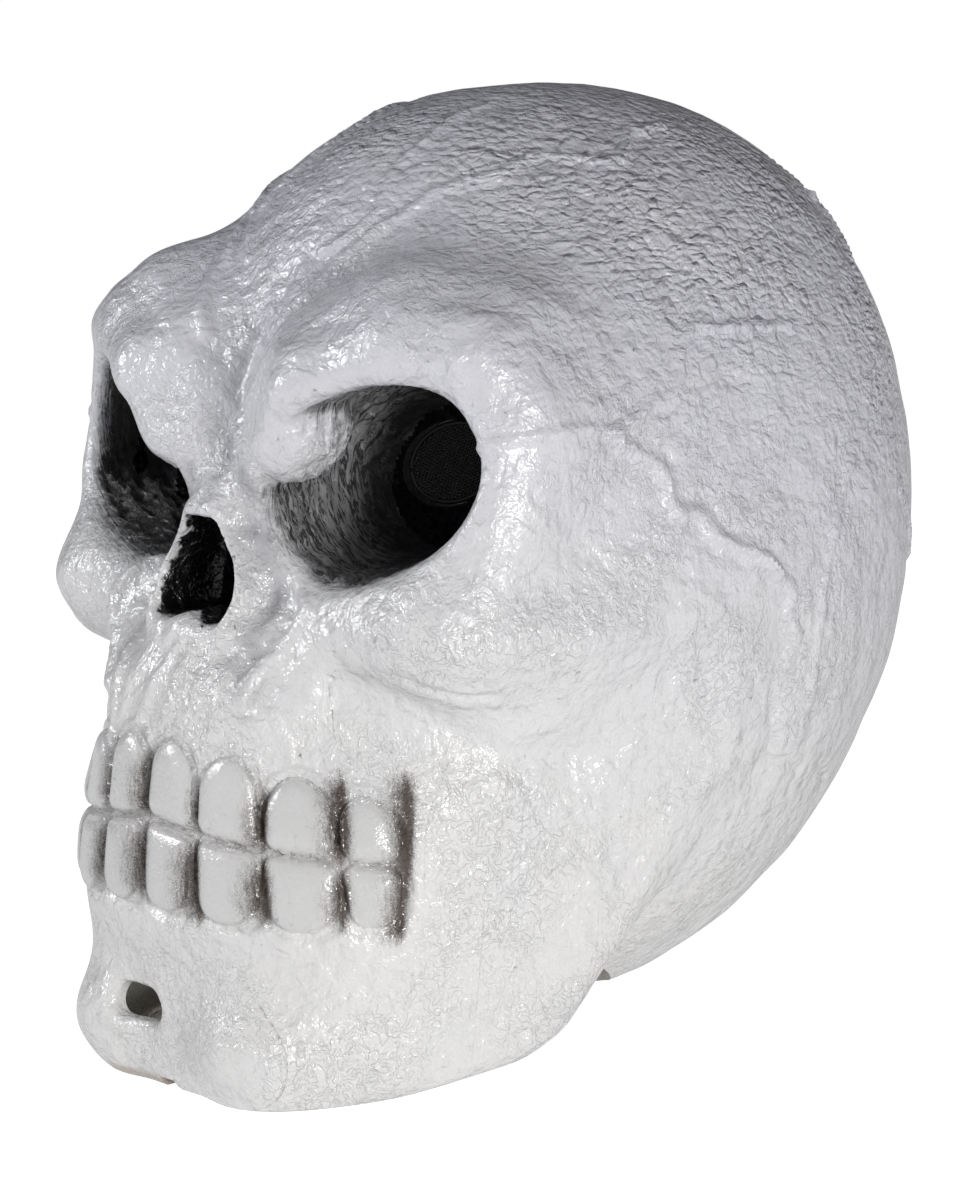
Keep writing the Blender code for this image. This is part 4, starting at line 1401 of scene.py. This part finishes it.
def lining_material():
    """Bare foam latex: matte, cream, with open pores."""
    mat, shader, place = new_material("bare_latex", roughness=0.85)
    pores = cells_at(place, 900.0, 0.3)
    cloud = noise_at(place, 45.0, 4.0, 0.6)
    base = mix(rescale(cloud, 0.3, 0.7), colour(0.70, 0.68, 0.62), colour(0.80, 0.785, 0.74))
    # painted shade: the open pores are darkened
    base = mix(rescale(pores, 0.35, 0.12, 0.0, 0.4), base, colour(0.50, 0.47, 0.40))
    normal = bumped(pores, 0.0004, 0.7)
    connect(shader, base_color=base, normal=normal)
    return mat


def gauze_material():
    """Dull black moulded gauze."""
    mat, shader, place = new_material("black_gauze", roughness=0.45)
    dust = noise_at(place, 500.0, 3.0)
    base = mix(rescale(dust, 0.5, 0.8), colour(0.003, 0.003, 0.003), colour(0.008, 0.008, 0.008))
    connect(shader, base_color=base, normal=bumped(dust, 0.0002, 0.6))
    return mat


def cloth_material(name, dark, light, threads, sheen=0.3, depth=0.0003):
    """Plain woven or knitted cloth: threads per metre set the weave."""
    mat, shader, place = new_material(name, roughness=0.9, sheen_weight=sheen, sheen_roughness=0.5)
    waves = []
    for axis in ("X", "Y", "Z"):
        inputs = {"Vector": place, "Scale": threads / 20.0, "Distortion": 0.5, "Detail": 1.0,
                  "Detail Scale": 2.0}
        waves.append(put("TexWave", inputs, bands_direction=axis).outputs["Fac"])
    weave = plus(times(waves[0], waves[2]), times(waves[1], waves[2]))
    fuzz = noise_at(place, 700.0, 4.0, 0.7)
    base = mix(weave, dark, light)
    base = mix(rescale(fuzz, 0.5, 0.8, 0.0, 0.35), base, colour(0.25, 0.25, 0.26))
    both = plus(weave, times(fuzz, 0.6))
    connect(shader, base_color=base, normal=bumped(both, depth, 0.8))
    return mat


def plastic_material():
    """Black moulded plastic with a fine grain and rubbed edges."""
    mat, shader, place = new_material("black_plastic", roughness=0.42)
    grainy = noise_at(place, 1400.0, 2.0)
    wear = put("NewGeometry").outputs["Pointiness"]
    base = mix(rescale(wear, 0.52, 0.6, 0.0, 0.5), colour(0.022, 0.022, 0.024), colour(0.09, 0.09, 0.095))
    gloss = rescale(noise_at(place, 150.0, 3.0), 0.3, 0.7, 0.34, 0.5)
    connect(shader, base_color=base, roughness=gloss, normal=bumped(grainy, 0.00012, 0.7))
    return mat


# ------------------------------------------------------------------ stage
def look_matrix(eye, forward, roll):
    """Camera matrix at a place, looking along a direction, turned by a roll."""
    right = forward.cross(Vector((0, 0, 1))).normalized()
    up = right.cross(forward)
    turned_right = right * math.cos(roll) + up * math.sin(roll)
    turned_up = up * math.cos(roll) - right * math.sin(roll)
    matrix = Matrix.Identity(4)
    for i in range(3):
        matrix[i][0] = turned_right[i]
        matrix[i][1] = turned_up[i]
        matrix[i][2] = -forward[i]
        matrix[i][3] = eye[i]
    return matrix


def make_camera():
    turn = math.radians(50.56)
    rise = math.radians(10.8)
    distance = 1.35
    aim = Vector((0.0, -0.007, 0.133))
    forward = Vector((-math.sin(turn) * math.cos(rise), math.cos(turn) * math.cos(rise), -math.sin(rise)))
    data = bpy.data.cameras.new("camera")
    data.sensor_fit = "AUTO"
    data.sensor_width = 36.0
    data.lens = 123.5
    data.clip_end = 200.0
    camera = bpy.data.objects.new("camera", data)
    bpy.context.scene.collection.objects.link(camera)
    camera.matrix_world = look_matrix(aim - forward * distance, forward, math.radians(-3.43))
    bpy.context.scene.camera = camera
    bpy.context.scene.view_settings.view_transform = "Standard"


def make_lamp(name, turn, rise, distance, size, power, tint):
    """Soft box, (width, height) in size: turn is degrees from straight ahead of the face to its left."""
    t = math.radians(turn)
    r = math.radians(rise)
    away = Vector((math.sin(t) * math.cos(r), -math.cos(t) * math.cos(r), math.sin(r)))
    data = bpy.data.lights.new(name, "AREA")
    data.shape = "RECTANGLE"
    data.size = size[0]
    data.size_y = size[1]
    data.energy = power
    data.color = tint
    lamp = bpy.data.objects.new(name, data)
    bpy.context.scene.collection.objects.link(lamp)
    centre = Vector((0.0, 0.0, 0.14))
    lamp.matrix_world = look_matrix(centre + away * distance, -away, 0.0)


def make_world():
    """Studio that is white to look at and lights the mask from low down, darkening overhead."""
    world = bpy.data.worlds.new("studio")
    bpy.context.scene.world = world
    world.use_nodes = True
    Nodes.tree = world.node_tree
    shade = Nodes.tree.nodes["Background"]
    around = put("TexCoord").outputs["Generated"]
    bright_side = (0.66, -0.55, -0.51)
    toward = put("VectorMath", {0: around, 1: bright_side}, operation="DOT_PRODUCT").outputs["Value"]
    tone = mix(rescale(toward, -0.5, 0.7), colour(0.08, 0.08, 0.085), colour(0.42, 0.42, 0.425))
    seen = put("LightPath").outputs["Is Camera Ray"]
    tone = mix(seen, tone, colour(1.0, 1.0, 1.0))
    connect(shade, color=tone)
    shade.inputs["Strength"].default_value = 1.0


def make_floor():
    """Wide pale floor that glows like a light table, so that no shadow falls on it."""
    mat, shader, place = new_material("pale_floor", roughness=0.8, emission_strength=1.0)
    shader.inputs["Specular IOR Level"].default_value = 0.1
    cloud = noise_at(place, 3.0, 2.0)
    tone = mix(cloud, colour(0.60, 0.60, 0.605), colour(0.57, 0.57, 0.575))
    seen = put("LightPath").outputs["Is Camera Ray"]
    glow = mix(seen, colour(0.36, 0.36, 0.36), colour(0.92, 0.92, 0.92))
    connect(shader, base_color=tone, emission_color=glow)
    bpy.ops.mesh.primitive_circle_add(vertices=96, radius=60.0, fill_type="NGON", location=(0, 0, -0.0004))
    floor = bpy.context.object
    floor.name = "floor"
    floor.data.materials.append(mat)


# ------------------------------------------------------------------ assembly
def install(piece, nodes=(), body="mask"):
    """Hang a piece on its body and hide the CAD nodes that it stands for."""
    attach(piece, body)
    if nodes:
        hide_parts(*nodes)


def main():
    make_camera()
    make_world()
    make_floor()
    make_lamp("key", turn=72.0, rise=3.0, distance=1.6, size=(0.3, 0.22), power=11.5,
              tint=(1.0, 0.99, 0.98))
    make_lamp("fill", turn=-40.0, rise=26.0, distance=1.8, size=(0.5, 0.5), power=13.0,
              tint=(0.97, 0.98, 1.0))
    tape = cloth_material("hem_tape_weave", colour(0.30, 0.26, 0.23), colour(0.55, 0.50, 0.45), 1600.0)
    thread = cloth_material("thread", colour(0.35, 0.33, 0.30), colour(0.62, 0.60, 0.56), 3000.0,
                            sheen=0.1, depth=0.0001)
    jersey = cloth_material("pad_jersey", colour(0.018, 0.018, 0.020), colour(0.075, 0.075, 0.082),
                            1100.0, sheen=0.4)
    web = cloth_material("strap_weave", colour(0.012, 0.012, 0.014), colour(0.06, 0.06, 0.066), 1500.0, 0.2)
    plastic = plastic_material()
    install(make_shell(skin_material(), lining_material(), cup_material()), ("skull_shell",))
    for node, piece in make_gauzes(gauze_material()).items():
        install(piece, (node,))
    band, stitches = make_hem(tape, thread)
    install(band, ("neck_hem",))
    install(stitches)
    install(make_tab(tape), ("hem_tab",))
    for node, (pad, piping, sewing) in make_pads(jersey, thread).items():
        install(pad, (node,))
        install(piping)
        install(sewing)
    strap, box_stitches = make_webbing(web, thread)
    install(strap, ("head_strap",))
    install(box_stitches)
    hole = (1.2, 12.9)
    for side in ("left", "right"):
        node = side + "_strap_anchor"
        install(moulded_loop(side + "_strap_loop", node, hole, 0, plastic), (node,))
    buckle = moulded_loop("slide_buckle", "strap_slider", hole, 1, plastic)
    install(buckle, ("strap_slider",), "slider")


main()
